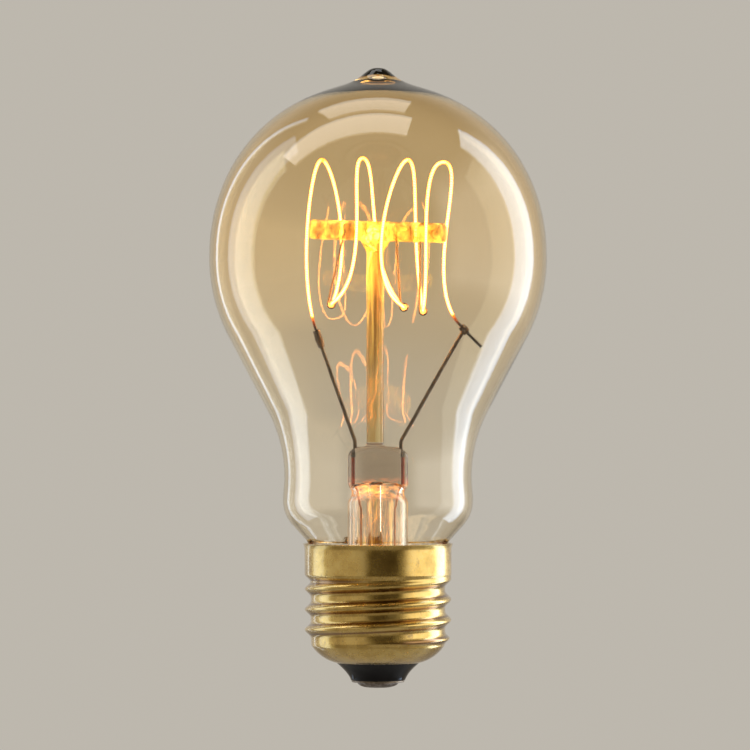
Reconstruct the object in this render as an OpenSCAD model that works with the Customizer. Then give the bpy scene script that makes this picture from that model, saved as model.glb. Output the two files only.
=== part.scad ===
// Filament bulb with an E27 screw cap, a drawn tip and a four-loop filament.
// Millimetres. The origin is the bottom of the centre contact, +Z runs up the axis to the tip,
// and the front is the side that faces -Y.

/* [Envelope] */
// Largest diameter of the glass
bulb_d = 60; // [52:0.5:64]
// Height from the centre contact to the tip
total_h = 110; // [107:0.5:132]
// Height of the dome above the widest point, tip left out
dome_rise = 31; // [29:0.1:33]
// Outer diameter at the top of the neck
neck_d = 33.3; // [31.5:0.1:35]
// Extra radius at the foot of the neck
neck_swell = 0.25; // [0:0.05:0.5]
// Length of the upright part of the neck
neck_l = 4.1; // [3:0.1:6]
// Radius of the blend from the neck to the bulb
neck_blend = 25; // [12:0.5:28]
// Radius of the turn from the neck in to the cap
neck_turn = 6.5; // [4:0.1:7.5]
// Angle from upright at which the neck enters the cap
neck_lean = 42; // [36:1:48]
// Wall thickness of all blown glass
glass_t = 0.7; // [0.5:0.05:0.9]
// Height of the drawn tip above the dome
tip_h = 2.8; // [1.5:0.1:3.5]
// Radius of the drawn tip at half its height
tip_r = 3.15; // [2.6:0.05:4]

/* [Cap] */
// Diameter over the crests of the thread
thread_d = 26.05; // [24.5:0.05:27.5]
// Depth of the thread, on the radius
thread_depth = 1.075; // [0.7:0.025:1.2]
// Pitch of the thread
thread_pitch = 3.629; // [3.2:0.001:4.2]
// How far the plain skirt stands proud of the crests, on the radius
skirt_step = 0.05; // [0:0.01:0.2]
// Height of the rim above the centre contact
cap_h = 25.6; // [24.5:0.1:27]
// Length of the plain skirt
skirt_l = 5.4; // [4:0.1:7]
// Outward flare of the rim, on the radius
rim_flare = 0.3; // [0:0.05:0.5]
// Sheet thickness of the shell
shell_t = 0.3; // [0.2:0.02:0.4]
// Radius of the shoulder under the thread
shoulder_r = 7.2; // [6.6:0.1:7.8]
// Diameter of the opening at the bottom of the shell
lip_d = 14.9; // [13:0.1:16]
// Height of the opening above the centre contact
lip_z = 4.4; // [4:0.1:5]

/* [Contact] */
// Diameter of the contact plate
plate_d = 9.4; // [8:0.1:10.5]
// Thickness of the contact plate
plate_t = 0.3; // [0.2:0.05:0.5]
// Height of the solder bead under the plate
bead_h = 0.95; // [0.6:0.05:1.2]
// Distance from the edge of the plate in to the solder bead
bead_in = 0.9; // [0.5:0.05:1.5]
// Diameter of the flat at the bottom of the bead
bead_flat_d = 3; // [2:0.1:4]

/* [Stem] */
// Outer diameter of the stem tube
stem_d = 10.8; // [10:0.1:11.6]
// Height of the stem tube, from the seal to the start of the press
stem_l = 13; // [11:0.1:15]
// Length of the press, from the tube to its domed top
press_l = 10.3; // [9.6:0.1:12]
// Width of the press
press_w = 10.7; // [10.2:0.1:11.4]
// Thickness of the press
press_t = 4.7; // [4.5:0.1:5.4]
// Outer diameter of the exhaust tube
exhaust_d = 3.2; // [2.8:0.1:3.6]
// Bore of the exhaust tube
exhaust_bore = 1.8; // [1.2:0.1:2]
// Length of the exhaust tube below the seal
exhaust_tail = 9; // [5:0.5:10]

/* [Mount] */
// Diameter of the centre rod
rod_d = 3.1; // [2.6:0.1:3.4]
// Sideways place of the centre rod and the exhaust tube
rod_x = -0.5; // [-0.8:0.1:0.8]
// Diameter of the glass cross bar
bar_d = 3.5; // [2.8:0.1:4]
// Length of the glass cross bar
bar_l = 24.4; // [20:0.2:27]
// Tilt of the cross bar, right end down
bar_tilt = 1.7; // [0:0.1:3]
// Height of the cross bar above the widest point of the bulb
bar_rise = 4.8; // [2:0.1:7]
// Diameter of the support hooks
hook_d = 0.4; // [0.3:0.05:0.45]
// Diameter of the inner leads
lead_d = 0.7; // [0.5:0.05:0.8]
// Diameter of the seal wires in the press
seal_d = 0.5; // [0.4:0.05:0.6]
// Diameter of the outer leads
tail_d = 0.4; // [0.3:0.05:0.45]
// Distance of the seal wires from the narrow sides of the press
seal_in = 1.25; // [1:0.05:1.6]

/* [Filament] */
// Diameter of the wound filament
filament_d = 0.6; // [0.4:0.05:0.65]
// Mean height of the loops above the cross bar
loop_up = 12.9; // [10:0.1:14]
// Mean depth of the bends below the cross bar
loop_down = 13.5; // [11:0.1:15]
// Depth of the two clamps below the cross bar
clamp_down = 18; // [16.5:0.1:20]
// How far the legs swing in front of and behind the cross bar
swing = 5.4; // [5:0.1:7]
// Diameter of the two clamps
clamp_d = 1.3; // [1.2:0.05:1.6]
// Length of the left clamp
clamp_l = 3.1; // [2.6:0.1:3.6]
// Length of the right clamp
pinch_l = 1.6; // [1.2:0.1:2.4]
// Length of filament past the right clamp
tail_l = 3.6; // [1:0.1:4]

/* [Hidden] */
$fn = 64;

clear_glass = [1, 0.9, 0.72, 0.35];
stem_glass = [0.95, 0.85, 0.7, 0.6];
nickel = [0.6, 0.6, 0.58];
brass = [0.8, 0.62, 0.25];
tin = [0.72, 0.72, 0.7];

// Clearances between pieces
wire_gap = 0.05;      // round a wire in a clamp, on the radius
seat_gap = 0.75;      // between the glass and the skirt, filled with cement
past = 1;             // how far a cut runs past the face it opens
corner_gap = 0.02;    // from the corners of a meshed form to the turned circle that it meets

// The shoulder is an arc from the lip up to the root of the thread
thread_r = thread_d / 2;
root_step = 0.08;                             // how far inside the root the shoulder ends
shoulder_top_r = thread_r - thread_depth - root_step;
shoulder_a0 = 33;                             // lean of the sheet from upright at its top end
shoulder_a1 = acos(cos(shoulder_a0) - (shoulder_top_r - lip_d / 2) / shoulder_r);

// Heights along the axis
ball_z = total_h - tip_h - dome_rise;
thread_z0 = lip_z + shoulder_r * (sin(shoulder_a1) - sin(shoulder_a0));
thread_z1 = cap_h - skirt_l;
toe_r = 3;                                    // turn at the bottom edge of the glass
seal_drop = 6;                                // from the rim down to the bottom edge of the glass
seal_z = cap_h - seal_drop;
bar_z = ball_z + bar_rise;

// Envelope
ball_r = bulb_d / 2;
neck_r = neck_d / 2;
foot_r = neck_r + neck_swell;
skirt_r = thread_r + skirt_step;
seat_r = skirt_r - shell_t - seat_gap;
entry_r = 1.5;                                // small blend where the glass enters the cap
entry_drop = 0.9;                             // from the rim down to the middle of that blend
entry_z = cap_h - entry_drop;
entry_steps = 6;
slope_x0 = seat_r + entry_r * (1 - cos(neck_lean));
slope_x1 = foot_r - neck_turn * (1 - cos(neck_lean));
foot_z = entry_z + entry_r * sin(neck_lean) + (slope_x1 - slope_x0) / tan(neck_lean)
    + neck_turn * sin(neck_lean);
neck_z = foot_z + neck_l;
rise = ball_z - neck_z;
// The blend shrinks when the bulb leaves it less room
blend_share = 0.75;
blend_r = min(neck_blend, blend_share * (neck_r * neck_r + rise * rise - ball_r * ball_r)
    / (2 * (ball_r - neck_r)));
slope = asin((ball_r + blend_r) / norm([neck_r + blend_r, rise])) - atan2(neck_r + blend_r, rise);
dome_power = 2.1;                             // a little squarer than an ellipse
tip_reach = 6;                                // radius within which the tip is drawn finely
tip_power = 3;                                // how square the shoulders of the tip are
core_w = 0.6;                                 // hollow of the tip, as shares of its width and height
core_h = 0.4;
curve_steps = 6;                              // steps of each arc of the glass
swell_steps = 4;
dome_step = 6;
dome_end = 72;
tip_steps = 12;

// Plane curves
function arc(cx, cy, r, a0, a1, n) =
    [for (i = [0:n]) let (a = a0 + (a1 - a0) * i / n) [cx + r * cos(a), cy + r * sin(a)]];
function backwards(list) = [for (i = [len(list) - 1:-1:0]) list[i]];
function unit(v) = v / norm(v);
function smooth(u) = let (c = max(0, min(1, u))) c * c * (3 - 2 * c);
function mix(a, b, u) = a + (b - a) * u;

// Height of the dome with its drawn tip at radius x, for a surface t inside the outer one
function dome(x, t) = let (
    wide = tip_r * (t > 0 ? core_w : 1),
    high = tip_h * (t > 0 ? core_h : 1))
    ball_z + (dome_rise - t) * pow(1 - pow(min(1, x / (ball_r - t)), dome_power), 1 / dome_power)
    + high / (1 + pow(x / wide, tip_power));

// The glass from its bottom edge inside the cap to the tip, t inside the outer surface
function glass_line(t) = concat(
    arc(seat_r - toe_r, seal_z + toe_r, toe_r - t, -90, 0, curve_steps),
    arc(seat_r + entry_r, entry_z, entry_r + t, 180, 180 - neck_lean, entry_steps),
    arc(foot_r - neck_turn, foot_z, neck_turn - t, -neck_lean, 0, curve_steps),
    [for (i = [1:swell_steps - 1]) let (u = i / swell_steps)
        [neck_r - t + neck_swell * (1 + cos(180 * u)) / 2, mix(foot_z, neck_z, u)]],
    arc(neck_r + blend_r, neck_z, blend_r + t, 180, 180 - slope, curve_steps),
    arc(0, ball_z, ball_r - t, -slope, 0, curve_steps),
    [for (a = [dome_step:dome_step:dome_end])
        let (x = (ball_r - t) * pow(cos(a), 2 / dome_power)) [x, dome(x, t)]],
    [for (i = [0:tip_steps]) let (x = tip_reach * (1 - i / tip_steps)) [x, dome(x, t)]]);

module bulb_envelope() {
    color(clear_glass)
        rotate_extrude($fn = 96)
            polygon(concat(glass_line(0), backwards(glass_line(glass_t))));
}

// Corner radius of a ring of flat sides that stays in the wall of a turned form, whose outside is at t = 0
function in_wall(r, t, sides) = t == 0 ? r - corner_gap : (r - t + corner_gap) / cos(180 / sides);

// A closed surface through rings that hold the same number of points each
module skin(rings) {
    n = len(rings[0]);
    last = len(rings) - 1;
    polyhedron(
        points = [for (ring = rings) each ring],
        faces = concat(
            [[for (i = [0:n - 1]) i]],
            [for (j = [0:last - 1], i = [0:n - 1]) let (k = (i + 1) % n)
                each [[j * n + i, (j + 1) * n + i, (j + 1) * n + k],
                      [j * n + i, (j + 1) * n + k, j * n + k]]],
            [[for (i = [n - 1:-1:0]) last * n + i]]),
        convexity = 8);
}

// Stem: a flared tube that is pinched flat round the wires and the foot of the rod
stem_r = stem_d / 2;
flare_r = seat_r - toe_r - stem_r;            // turn of the flare out to the bottom edge
press_z = seal_z + stem_l;                    // where the round tube starts to flatten
press_top = press_z + press_l;
pinch_h = 3.7;                                // height over which the tube flattens
waist = 0.7;                                  // how far the sides draw in below the press
dome_h = 2.2;                                 // height of the rounded top of the press
ceiling = press_z + 2.8;                      // top of the hollow under the press
press_sides = 32;
press_corner = 2.7;                           // how square the section of the press is
dome_corner = 2.4;                            // how square its rounded top is
side_close = 0.7;                             // share of the top's rounding that its narrow sides take
ceiling_close = 0.45;                         // how far the hollow draws in at its ceiling
exhaust_seat = 2;                             // length over which the glass of the stem may grip that tube
seal_x = press_w / 2 - seal_in;
flare_steps = 8;

function press_ring(z, t) = let (
    u = (z - press_z) / pinch_h,
    flat = smooth(u),
    top = max(0, (z - press_top + dome_h) / dome_h),
    close = pow(1 - pow(top, dome_corner), 1 / dome_corner),
    drawn = u < 1 ? waist * pow(sin(180 * u), 2) : 0,
    a = in_wall(mix(stem_r, press_w / 2, flat) - drawn, t, press_sides),
    b = in_wall(mix(stem_r, press_t / 2, flat), t, press_sides),
    e = 2 / mix(2, press_corner, flat))
    [for (i = [0:press_sides - 1]) let (c = cos(360 * i / press_sides), s = sin(360 * i / press_sides))
        [a * mix(1, close, side_close) * sign(c) * pow(abs(c), e), b * close * sign(s) * pow(abs(s), e), z]];

module press_solid() {
    steps = [0, 0.12, 0.24, 0.36, 0.5, 0.64, 0.78, 0.9, 1];
    skin(concat(
        [for (s = steps) press_ring(press_z + s * pinch_h, 0)],
        [press_ring(mix(press_z + pinch_h, press_top - dome_h, 0.5), 0)],
        [for (s = [0, 0.3, 0.55, 0.75, 0.9, 0.98]) press_ring(press_top - dome_h + s * dome_h, 0)]));
}

module press_hollow() {
    skin([for (s = [-0.1, 0, 0.25, 0.5, 0.75, 1]) let (
        z = press_z + s * (ceiling - press_z),
        ring = press_ring(max(press_z, z), glass_t),
        k = 1 - ceiling_close * pow(max(0, 2 * s - 1), 2))
        [for (p = ring) [p[0] * k, p[1] * k, z]]]);
}

module stem() {
    color(stem_glass)
        difference() {
            union() {
                rotate_extrude()
                    polygon(concat(
                        [[stem_r, press_z]],
                        arc(stem_r + flare_r, seal_z + glass_t + flare_r, flare_r, 180, 270, flare_steps),
                        arc(stem_r + flare_r, seal_z + glass_t + flare_r, flare_r + glass_t, 270, 180,
                            flare_steps),
                        [[stem_r - glass_t, press_z]]));
                difference() {
                    press_solid();
                    press_hollow();
                }
            }
            rod_solid();
            translate([rod_x, 0, ceiling - exhaust_seat])
                cylinder(d = exhaust_d, h = exhaust_seat);
            for (side = [-1, 1]) {
                seal_wire(side);
                inner_lead(side);
            }
            wire(rim_route, rim_bends, tail_d);
            wire(centre_route, centre_bends, tail_d);
            blow_hole();
        }
}

// The bore of the exhaust tube turns out through the front of the press
module blow_hole() {
    up = 0.5;                                 // from the ceiling to the middle of the sideways bore
    translate([rod_x, 0, ceiling - past])
        cylinder(d = exhaust_bore, h = past + up);
    translate([rod_x, 0, ceiling + up])
        rotate([90, 0, 0])
            cylinder(d = exhaust_bore, h = press_w);
}

// Exhaust tube, melted off to a closed point at its lower end
module exhaust_tube() {
    r = exhaust_d / 2;
    bottom = seal_z - exhaust_tail;
    point_h = exhaust_d;
    tip_wall = 0.7 * exhaust_d;
    core_z = 1.2 * exhaust_d;
    color(stem_glass)
        translate([rod_x, 0, 0])
            rotate_extrude()
                polygon(concat(
                    [[0, bottom]],
                    arc(0, bottom + point_h, r, -60, 0, 4),
                    [[r, ceiling], [exhaust_bore / 2, ceiling],
                     [exhaust_bore / 2, bottom + core_z], [0, bottom + tip_wall]]));
}

// Glass mount
rod_r = rod_d / 2;
foot_wall = 0.45;                             // glass left over the bulb at the foot of the rod
rod_foot_r = press_t / 2 - foot_wall;
rod_foot_z = press_top - 3.9;
joint_grow = 0.95;                            // how much wider than the bar the melted joint is
joint_r = max(bar_d, rod_d) / 2 + joint_grow;
joint_sink = 1;                               // its middle lies this far below the bar's axis
joint_tail = 0.1;
rod_top = bar_z - joint_sink - joint_r - joint_tail;

module rod_solid() {
    translate([rod_x, 0, rod_foot_z]) {
        sphere(r = rod_foot_r);
        cylinder(r = rod_r, h = rod_top - rod_foot_z);
    }
}

module centre_rod() {
    color(stem_glass) rod_solid();
}

module cross_bar() {
    r = bar_d / 2;
    edge = 0.8;                               // rounding of the cut ends
    color(stem_glass)
        difference() {
            union() {
                translate([0, 0, bar_z])
                    rotate([0, 90 + bar_tilt, 0])
                        rotate_extrude()
                            polygon(concat(
                                [[0, -bar_l / 2]],
                                arc(r - edge, edge - bar_l / 2, edge, -90, 0, 4),
                                arc(r - edge, bar_l / 2 - edge, edge, 0, 90, 4),
                                [[0, bar_l / 2]]));
                translate([rod_x, 0, 0])
                    rotate_extrude()
                        polygon(concat(
                            [[0, rod_top], [rod_r, rod_top]],
                            arc(0, bar_z - joint_sink, joint_r, -20, 90, 10)));
            }
            for (i = [0:2])
                hook(i);
        }
}

// A straight round length from a to b
module rod_between(a, b, d) {
    v = b - a;
    translate(a)
        rotate([0, acos(v[2] / norm(v)), atan2(v[1], v[0])])
            cylinder(d = d, h = norm(v), $fn = 24);
}

// A path through corner points; bends holds the radius of the arc at each corner
function heading(p, i) = unit(p[i + 1] - p[i]);
function turn_at(p, i) = acos(heading(p, i - 1) * heading(p, i));
function rounded(p, bends) = concat([p[0]], [for (i = [1:1:len(p) - 2]) let (
    u = heading(p, i - 1),
    turn = turn_at(p, i),
    out = unit(u * cos(turn) - heading(p, i)),
    r = bends[i - 1],
    centre = p[i] - u * r * tan(turn / 2) - out * r,
    n = ceil(turn / 15))
    each [for (s = [0:n]) centre + r * (out * cos(turn * s / n) + u * sin(turn * s / n))]],
    [p[len(p) - 1]]);

// A round tube swept along a path, its rings carried along without twist
function along(p, i) = unit(p[min(i + 1, len(p) - 1)] - p[max(i - 1, 0)]);
function square_to(a, t) = unit(a - t * (a * t));
ring_start = [0.36, 0.93, 0.1];               // no path starts in this direction
module tube(p, d, sides = 8) {
    n = len(p);
    first = cross(along(p, 0), ring_start);
    skin([for (i = 0, a = square_to(first, along(p, 0)); i < n;
        i = i + 1, a = i < n ? square_to(a, along(p, i)) : a)
        let (b = cross(along(p, i), a))
        [for (s = [0:sides - 1])
            p[i] + (a * cos(360 * s / sides) + b * sin(360 * s / sides)) * d / 2]]);
}

module wire(p, bends, d) {
    tube(rounded(p, bends), d);
}

// Wires of the stem, from the cap up to the clamps
weld_low = ceiling + 0.6;                     // outer lead meets seal wire
weld_high = press_top - 2;                    // seal wire meets inner lead
lead_bend_z = press_top + 1;
tail_in = 2.4;                                // from the outside of the stem tube to the outer leads
tail_x = stem_r - tail_in;
rim_side = 115;                               // direction of the rim lead, seen from above
rim_gap = 0.36;                               // from the glass to the middle of the rim lead
rim_low_z = seal_z - rim_gap;
rim_up_z = cap_h - 0.6;                       // where the rim lead starts to lean out over the rim
rim_over_z = cap_h + 0.25;
rim_step = 0.4;                               // how far it has leaned out over the rim
rim_end_r = skirt_r + 0.75;
centre_low_z = seal_z - 7;                    // where the centre lead turns in to the axis
centre_down_z = lip_z + 3;

function polar(r, a, z) = [r * cos(a), r * sin(a), z];

rim_route = [[-seal_x, 0, weld_low], [-seal_x, 0, ceiling], [-tail_x, 0, press_z - 1],
    [-tail_x, 0, rim_low_z], polar(seat_r + rim_gap, rim_side, rim_low_z),
    polar(seat_r + rim_gap, rim_side, rim_up_z),
    polar(seat_r + rim_gap + rim_step, rim_side, rim_over_z),
    polar(rim_end_r, rim_side, rim_over_z)];
rim_bends = [0.8, 0.8, 1, toe_r + rim_gap, 0.5, 0.4];
centre_route = [[seal_x, 0, weld_low], [seal_x, 0, ceiling], [tail_x, 0, press_z - 1],
    [tail_x, 0, centre_low_z], [0, 0, centre_down_z], [0, 0, bead_h / 2]];
centre_bends = [0.8, 0.8, 2, 2];

module outer_lead_rim() {
    color("peru") wire(rim_route, rim_bends, tail_d);
}

module outer_lead_centre() {
    color("peru") wire(centre_route, centre_bends, tail_d);
}

module seal_wire(side) {
    translate([side * seal_x, 0, weld_low])
        cylinder(d = seal_d, h = weld_high - weld_low, $fn = 24);
}

module seal_wire_left() {
    color("firebrick") seal_wire(-1);
}

module seal_wire_right() {
    color("firebrick") seal_wire(1);
}

// Places along the bar, as shares of its half length, and heights about the bar
half_bar = bar_l / 2;
crown_at = [-0.816, -0.221, 0.434, 0.959];    // tops of the loops
crown_wide = [0.15, 0.24, 0.19, 0.39];        // how broadly each top is rounded
crown_off = [-0.2, 0.1, -0.2, -0.6];
bend_at = [-0.68, 0.377, 0.656];              // bottom bends, held by the hooks
bend_off = [0.5, 0, -0.7];
hook_at = [-0.484, 0.262, 0.615];             // where the hooks leave the bar
foot_bow = [0, 0.307, 0.598, -0.557, -0.643, -0.189, 0.102, 0];
foot_up = [0, 10, 5, 7.1, 5, 13.3, 7.1, 0];
bend_r = 0.8;                                 // bottom bends, seen from the side
splay = 30;                                   // how far the legs open there, from upright
end_handle = 10.5;                            // how long the end legs hold their first direction
end_swing = 1.5 * swing;
crown_swing = 0.8 * swing;

// Ends of the filament and the directions in which it leaves its clamps
left_end = [-0.9 * half_bar, 0, bar_z - clamp_down + 0.4];      // top of the left clamp
right_end = [1.254 * half_bar, 0, bar_z - clamp_down + 0.6];    // middle of the right clamp
left_bend = [-seal_x, 0, lead_bend_z];
left_dir = unit(left_end - left_bend);
right_dir = [-sin(45), 0, cos(45)];
right_top = right_end + right_dir * pinch_l / 2;                // where the filament leaves that clamp

// Leg i rises from its foot to its crown; odd legs pass behind the bar, even ones in front
function side_of(i) = i % 2 == 0 ? -1 : 1;
function foot_dir(i) = unit([foot_bow[i] * half_bar, 0, foot_up[i]]);
function lean_of(b) = unit(foot_dir(2 * b + 1) + foot_dir(2 * b + 2));
function bend_low(b) = [bend_at[b] * half_bar, 0, bar_z - loop_down + bend_off[b]];
function on_bend(b, a) = bend_low(b) + [0, bend_r * cos(a), 0] + lean_of(b) * bend_r * (1 - sin(a));
function crown(i) = let (k = floor(i / 2))
    [crown_at[k] * half_bar, 0, bar_z + loop_up + crown_off[k]];
function crown_handle(i) = let (wide = crown_wide[floor(i / 2)] * half_bar, end = i == 0 || i == 7)
    crown(i) + side_of(i) * [wide, end ? end_swing : crown_swing, 0];
function foot(i) = i == 0 ? left_end : i == 7 ? right_top
    : on_bend(floor((i - 1) / 2), i % 2 == 1 ? splay : 180 - splay);
function foot_handle(i) = foot(i) + (i == 0 ? left_dir * end_handle : i == 7 ? right_dir * end_handle
    : [foot_bow[i] * half_bar, side_of(i) * swing, foot_up[i]]);
function cubic(a, b, c, d, t) =
    pow(1 - t, 3) * a + 3 * pow(1 - t, 2) * t * b + 3 * (1 - t) * t * t * c + pow(t, 3) * d;
leg_rings = 12;
function leg(i) = [for (s = [0:leg_rings])
    cubic(foot(i), foot_handle(i), crown_handle(i), crown(i), s / leg_rings)];
function tops(list) = [for (s = [1:len(list) - 1]) list[s]];
function loop(k) = concat(leg(2 * k), tops(backwards(leg(2 * k + 1))));

grip = 1.3;                                   // length of wire held in the left clamp
filament_path = concat(
    [left_end - left_dir * grip],
    [for (k = [0:3]) each concat(loop(k), k == 3 ? []
        : [for (a = [splay + 20:20:160 - splay]) on_bend(k, a)])],
    [right_end - right_dir * pinch_l / 2, right_end - right_dir * (pinch_l / 2 + tail_l)]);

// Length along a path up to each of its points
function run_of(p) = [for (i = 0, s = 0; i < len(p);
    s = s + (i + 1 < len(p) ? norm(p[i + 1] - p[i]) : 0), i = i + 1) s];
// Least gap between stretches of a wound tube that are not next to each other
function least_gap(p, d, apart) = let (run = run_of(p), n = len(p))
    min([for (i = [0:n - 1], j = [i + 1:1:n - 1]) if (run[j] - run[i] > apart) norm(p[j] - p[i]) - d]);

module filament() {
    echo(least_gap_of_filament = least_gap(filament_path, filament_d, 2 * bend_r));
    color("gold") tube(filament_path, filament_d, 6);
}

// Each hook is a wire set in the bar that ends in an eye round the filament
eye_gap = 0.1;
eye_r = filament_d / 2 + hook_d / 2 + eye_gap;
eye_turn = 300;                               // how far the eye closes round the filament
eye_step = 20;
function in_bar(x) = [x * half_bar, 0, bar_z - x * half_bar * tan(bar_tilt)];

module hook(i) {
    a = in_bar(hook_at[i]);
    eye = bend_low(i);
    v = eye - a;
    reach = sqrt(v * v - eye_r * eye_r);
    u = unit(v * reach + [v[2], 0, -v[0]] * eye_r);
    out = unit(a + u * reach - eye);
    tube(concat([a], [for (s = [0:eye_step:eye_turn]) eye + eye_r * (out * cos(s) + u * sin(s))]), hook_d);
}

module support_hook_left() {
    color(nickel) hook(0);
}

module support_hook_middle() {
    color(nickel) hook(1);
}

module support_hook_right() {
    color(nickel) hook(2);
}

// Inner leads, from the seal wires to the clamps
left_tip = left_end - left_dir * (clamp_l - grip);
right_bend = [seal_x, 0, lead_bend_z];
lead_bend_r = 2;

module inner_lead(side) {
    if (side < 0)
        wire([[-seal_x, 0, weld_high], left_bend, left_tip], [lead_bend_r], lead_d);
    else
        difference() {
            wire([[seal_x, 0, weld_high], right_bend, right_end], [lead_bend_r], lead_d);
            pinch_solid();
        }
}

module inner_lead_left() {
    color(nickel) inner_lead(-1);
}

module inner_lead_right() {
    color(nickel) inner_lead(1);
}

module pinch_solid() {
    rod_between(right_end - right_dir * pinch_l / 2, right_end + right_dir * pinch_l / 2, clamp_d);
}

module filament_clamp_left() {
    hole_d = filament_d + 2 * wire_gap;
    color(nickel)
        difference() {
            rod_between(left_end - left_dir * clamp_l, left_end, clamp_d);
            inner_lead(-1);
            rod_between(left_end - left_dir * (grip + wire_gap), left_end + left_dir * past, hole_d);
        }
}

module filament_clamp_right() {
    color(nickel)
        difference() {
            pinch_solid();
            rod_between(right_end - right_dir * (pinch_l / 2 + past),
                        right_end + right_dir * (pinch_l / 2 + past), filament_d + 2 * wire_gap);
        }
}

// Screw shell: plain skirt, rolled round thread and shoulder, all one sheet
shoulder_steps = 11;
shoulder_cx = lip_d / 2 - shoulder_r * cos(shoulder_a1);
shoulder_cz = lip_z + shoulder_r * sin(shoulder_a1);
flank = 2 * atan(2 * thread_depth / thread_pitch);
round_r = thread_pitch / 4 / sin(flank);      // radius of both crest and root
first_crest = 0.93;                           // height of the lowest crest at the +X side
run_out = 1.6;                                // height over which the thread fades at each end
thread_steps = 48;
thread_rows = 30;
lining_rows = 20;
rim_h = 1;

function from_crest(a, z) = let (s = (z - thread_z0 - first_crest) / thread_pitch - a / 360)
    abs(s - round(s)) * thread_pitch;
function thread_line(u, t) = u < (round_r - t) * sin(flank)
    ? thread_r - round_r + sqrt(pow(round_r - t, 2) - u * u)
    : thread_r - thread_depth + round_r - sqrt(pow(round_r + t, 2) - pow(thread_pitch / 2 - u, 2));
function shell_ring(z, t) = [for (i = [0:thread_steps - 1]) let (
    a = 360 * i / thread_steps,
    rolled = thread_line(from_crest(a, z), t),
    upper = mix(rolled, in_wall(skirt_r, t, thread_steps), smooth((z - thread_z1 + run_out) / run_out)),
    lower = in_wall(shoulder_top_r, t * cos(shoulder_a0), thread_steps))
    polar(mix(lower, upper, smooth((z - thread_z0) / run_out)), a, z)];

module threaded_sheet() {
    rings = concat(
        [for (j = [0:thread_rows]) shell_ring(mix(thread_z0, thread_z1, j / thread_rows), 0)],
        [for (j = [lining_rows:-1:0]) shell_ring(mix(thread_z0, thread_z1, j / lining_rows), shell_t)]);
    m = len(rings);
    n = thread_steps;
    polyhedron(
        points = [for (ring = rings) each ring],
        faces = [for (j = [0:m - 1], i = [0:n - 1]) let (k = (i + 1) % n, up = (j + 1) % m)
            each [[j * n + i, up * n + i, up * n + k], [j * n + i, up * n + k, j * n + k]]],
        convexity = 12);
}

function skirt_line(t) = [[skirt_r - t, thread_z1], [skirt_r - t, cap_h - rim_h],
    [skirt_r - t + rim_flare * 0.3, cap_h - rim_h / 2], [skirt_r - t + rim_flare, cap_h]];
function shoulder_line(t, steps) = arc(shoulder_cx, shoulder_cz, shoulder_r - t,
    -shoulder_a1, -shoulder_a1 + steps * (shoulder_a1 - shoulder_a0) / shoulder_steps, steps);

module screw_shell() {
    lining_r = shoulder_top_r - shell_t * cos(shoulder_a0);
    color(brass) {
        threaded_sheet();
        rotate_extrude()
            polygon(concat(skirt_line(0), backwards(skirt_line(shell_t))));
        rotate_extrude()
            polygon(concat(
                shoulder_line(0, shoulder_steps),
                [[shoulder_top_r, thread_z0], [lining_r, thread_z0]],
                backwards(shoulder_line(shell_t, shoulder_steps))));
    }
}

// Cement ring between the neck and the skirt, up to the third step of the entry blend
module capping_cement() {
    steps = entry_steps / 2;
    blend = arc(seat_r + entry_r, entry_z, entry_r, 180, 180 - neck_lean / 2, steps);
    color("dimgray")
        difference() {
            rotate_extrude()
                polygon(concat(
                    [[seat_r, seal_z + toe_r]], blend,
                    [[skirt_r - shell_t, blend[steps][1]], [skirt_r - shell_t, seal_z + toe_r]]));
            wire(rim_route, rim_bends, tail_d);
        }
}

// Black glass in the bottom of the shell, cast against the shoulder
module insulator() {
    bottom = bead_h + plate_t;
    seat_steps = 7;
    hole_r = 0.7;
    hub_r = 2.7;                              // flat round the hole, on the inside
    hub_z = lip_z + 1.3;
    bank_z = lip_z + 2.1;                     // the inside rises from the hub to the shell
    bank_r = shoulder_cx + 3.4;
    bottom_edge = 0.15;                       // from the plate to the edge of the bottom face
    hollow = 0.32;                            // the cone dips in halfway up: an even slope is 0.5
    color([0.06, 0.06, 0.07])
        rotate_extrude()
            polygon(concat(
                [[hole_r, bottom], [plate_d / 2 + bottom_edge, bottom],
                 [mix(plate_d, lip_d, hollow) / 2, mix(bottom, lip_z, 0.5)], [lip_d / 2, lip_z]],
                shoulder_line(shell_t, seat_steps),
                [[bank_r, bank_z], [hub_r, hub_z], [hole_r, hub_z]]));
}

module contact_plate() {
    hole_r = 0.4;
    edge = 0.12;
    color(brass)
        rotate_extrude()
            polygon([[hole_r, bead_h], [plate_d / 2 - edge, bead_h], [plate_d / 2, bead_h + edge],
                     [plate_d / 2, bead_h + plate_t], [hole_r, bead_h + plate_t]]);
}

// Bead of solder under the plate, flat where the lamp holder touches it
module contact_solder() {
    bead_d = plate_d - 2 * bead_in;
    color(tin)
        difference() {
            rotate_extrude()
                polygon(concat([[0, 0]],
                    [for (a = [0:10:90]) [mix(bead_flat_d, bead_d, sin(a)) / 2, bead_h * (1 - cos(a))]],
                    [[0, bead_h]]));
            translate([0, 0, bead_h / 2])
                cylinder(d = tail_d, h = bead_h, $fn = 24);
        }
}

// Solder that joins the rim lead to the outside of the rim
module rim_solder() {
    blob_r = 0.9;
    blob_out = 0.5;
    blob_drop = 0.1;
    color(tin)
        difference() {
            translate(polar(skirt_r + blob_out, rim_side, cap_h - blob_drop))
                rotate([0, 90, rim_side])
                    sphere(r = blob_r);
            rotate_extrude()
                polygon(concat([[0, thread_z1]], skirt_line(0), [[0, cap_h]]));
            wire(rim_route, rim_bends, tail_d);
        }
}

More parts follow.
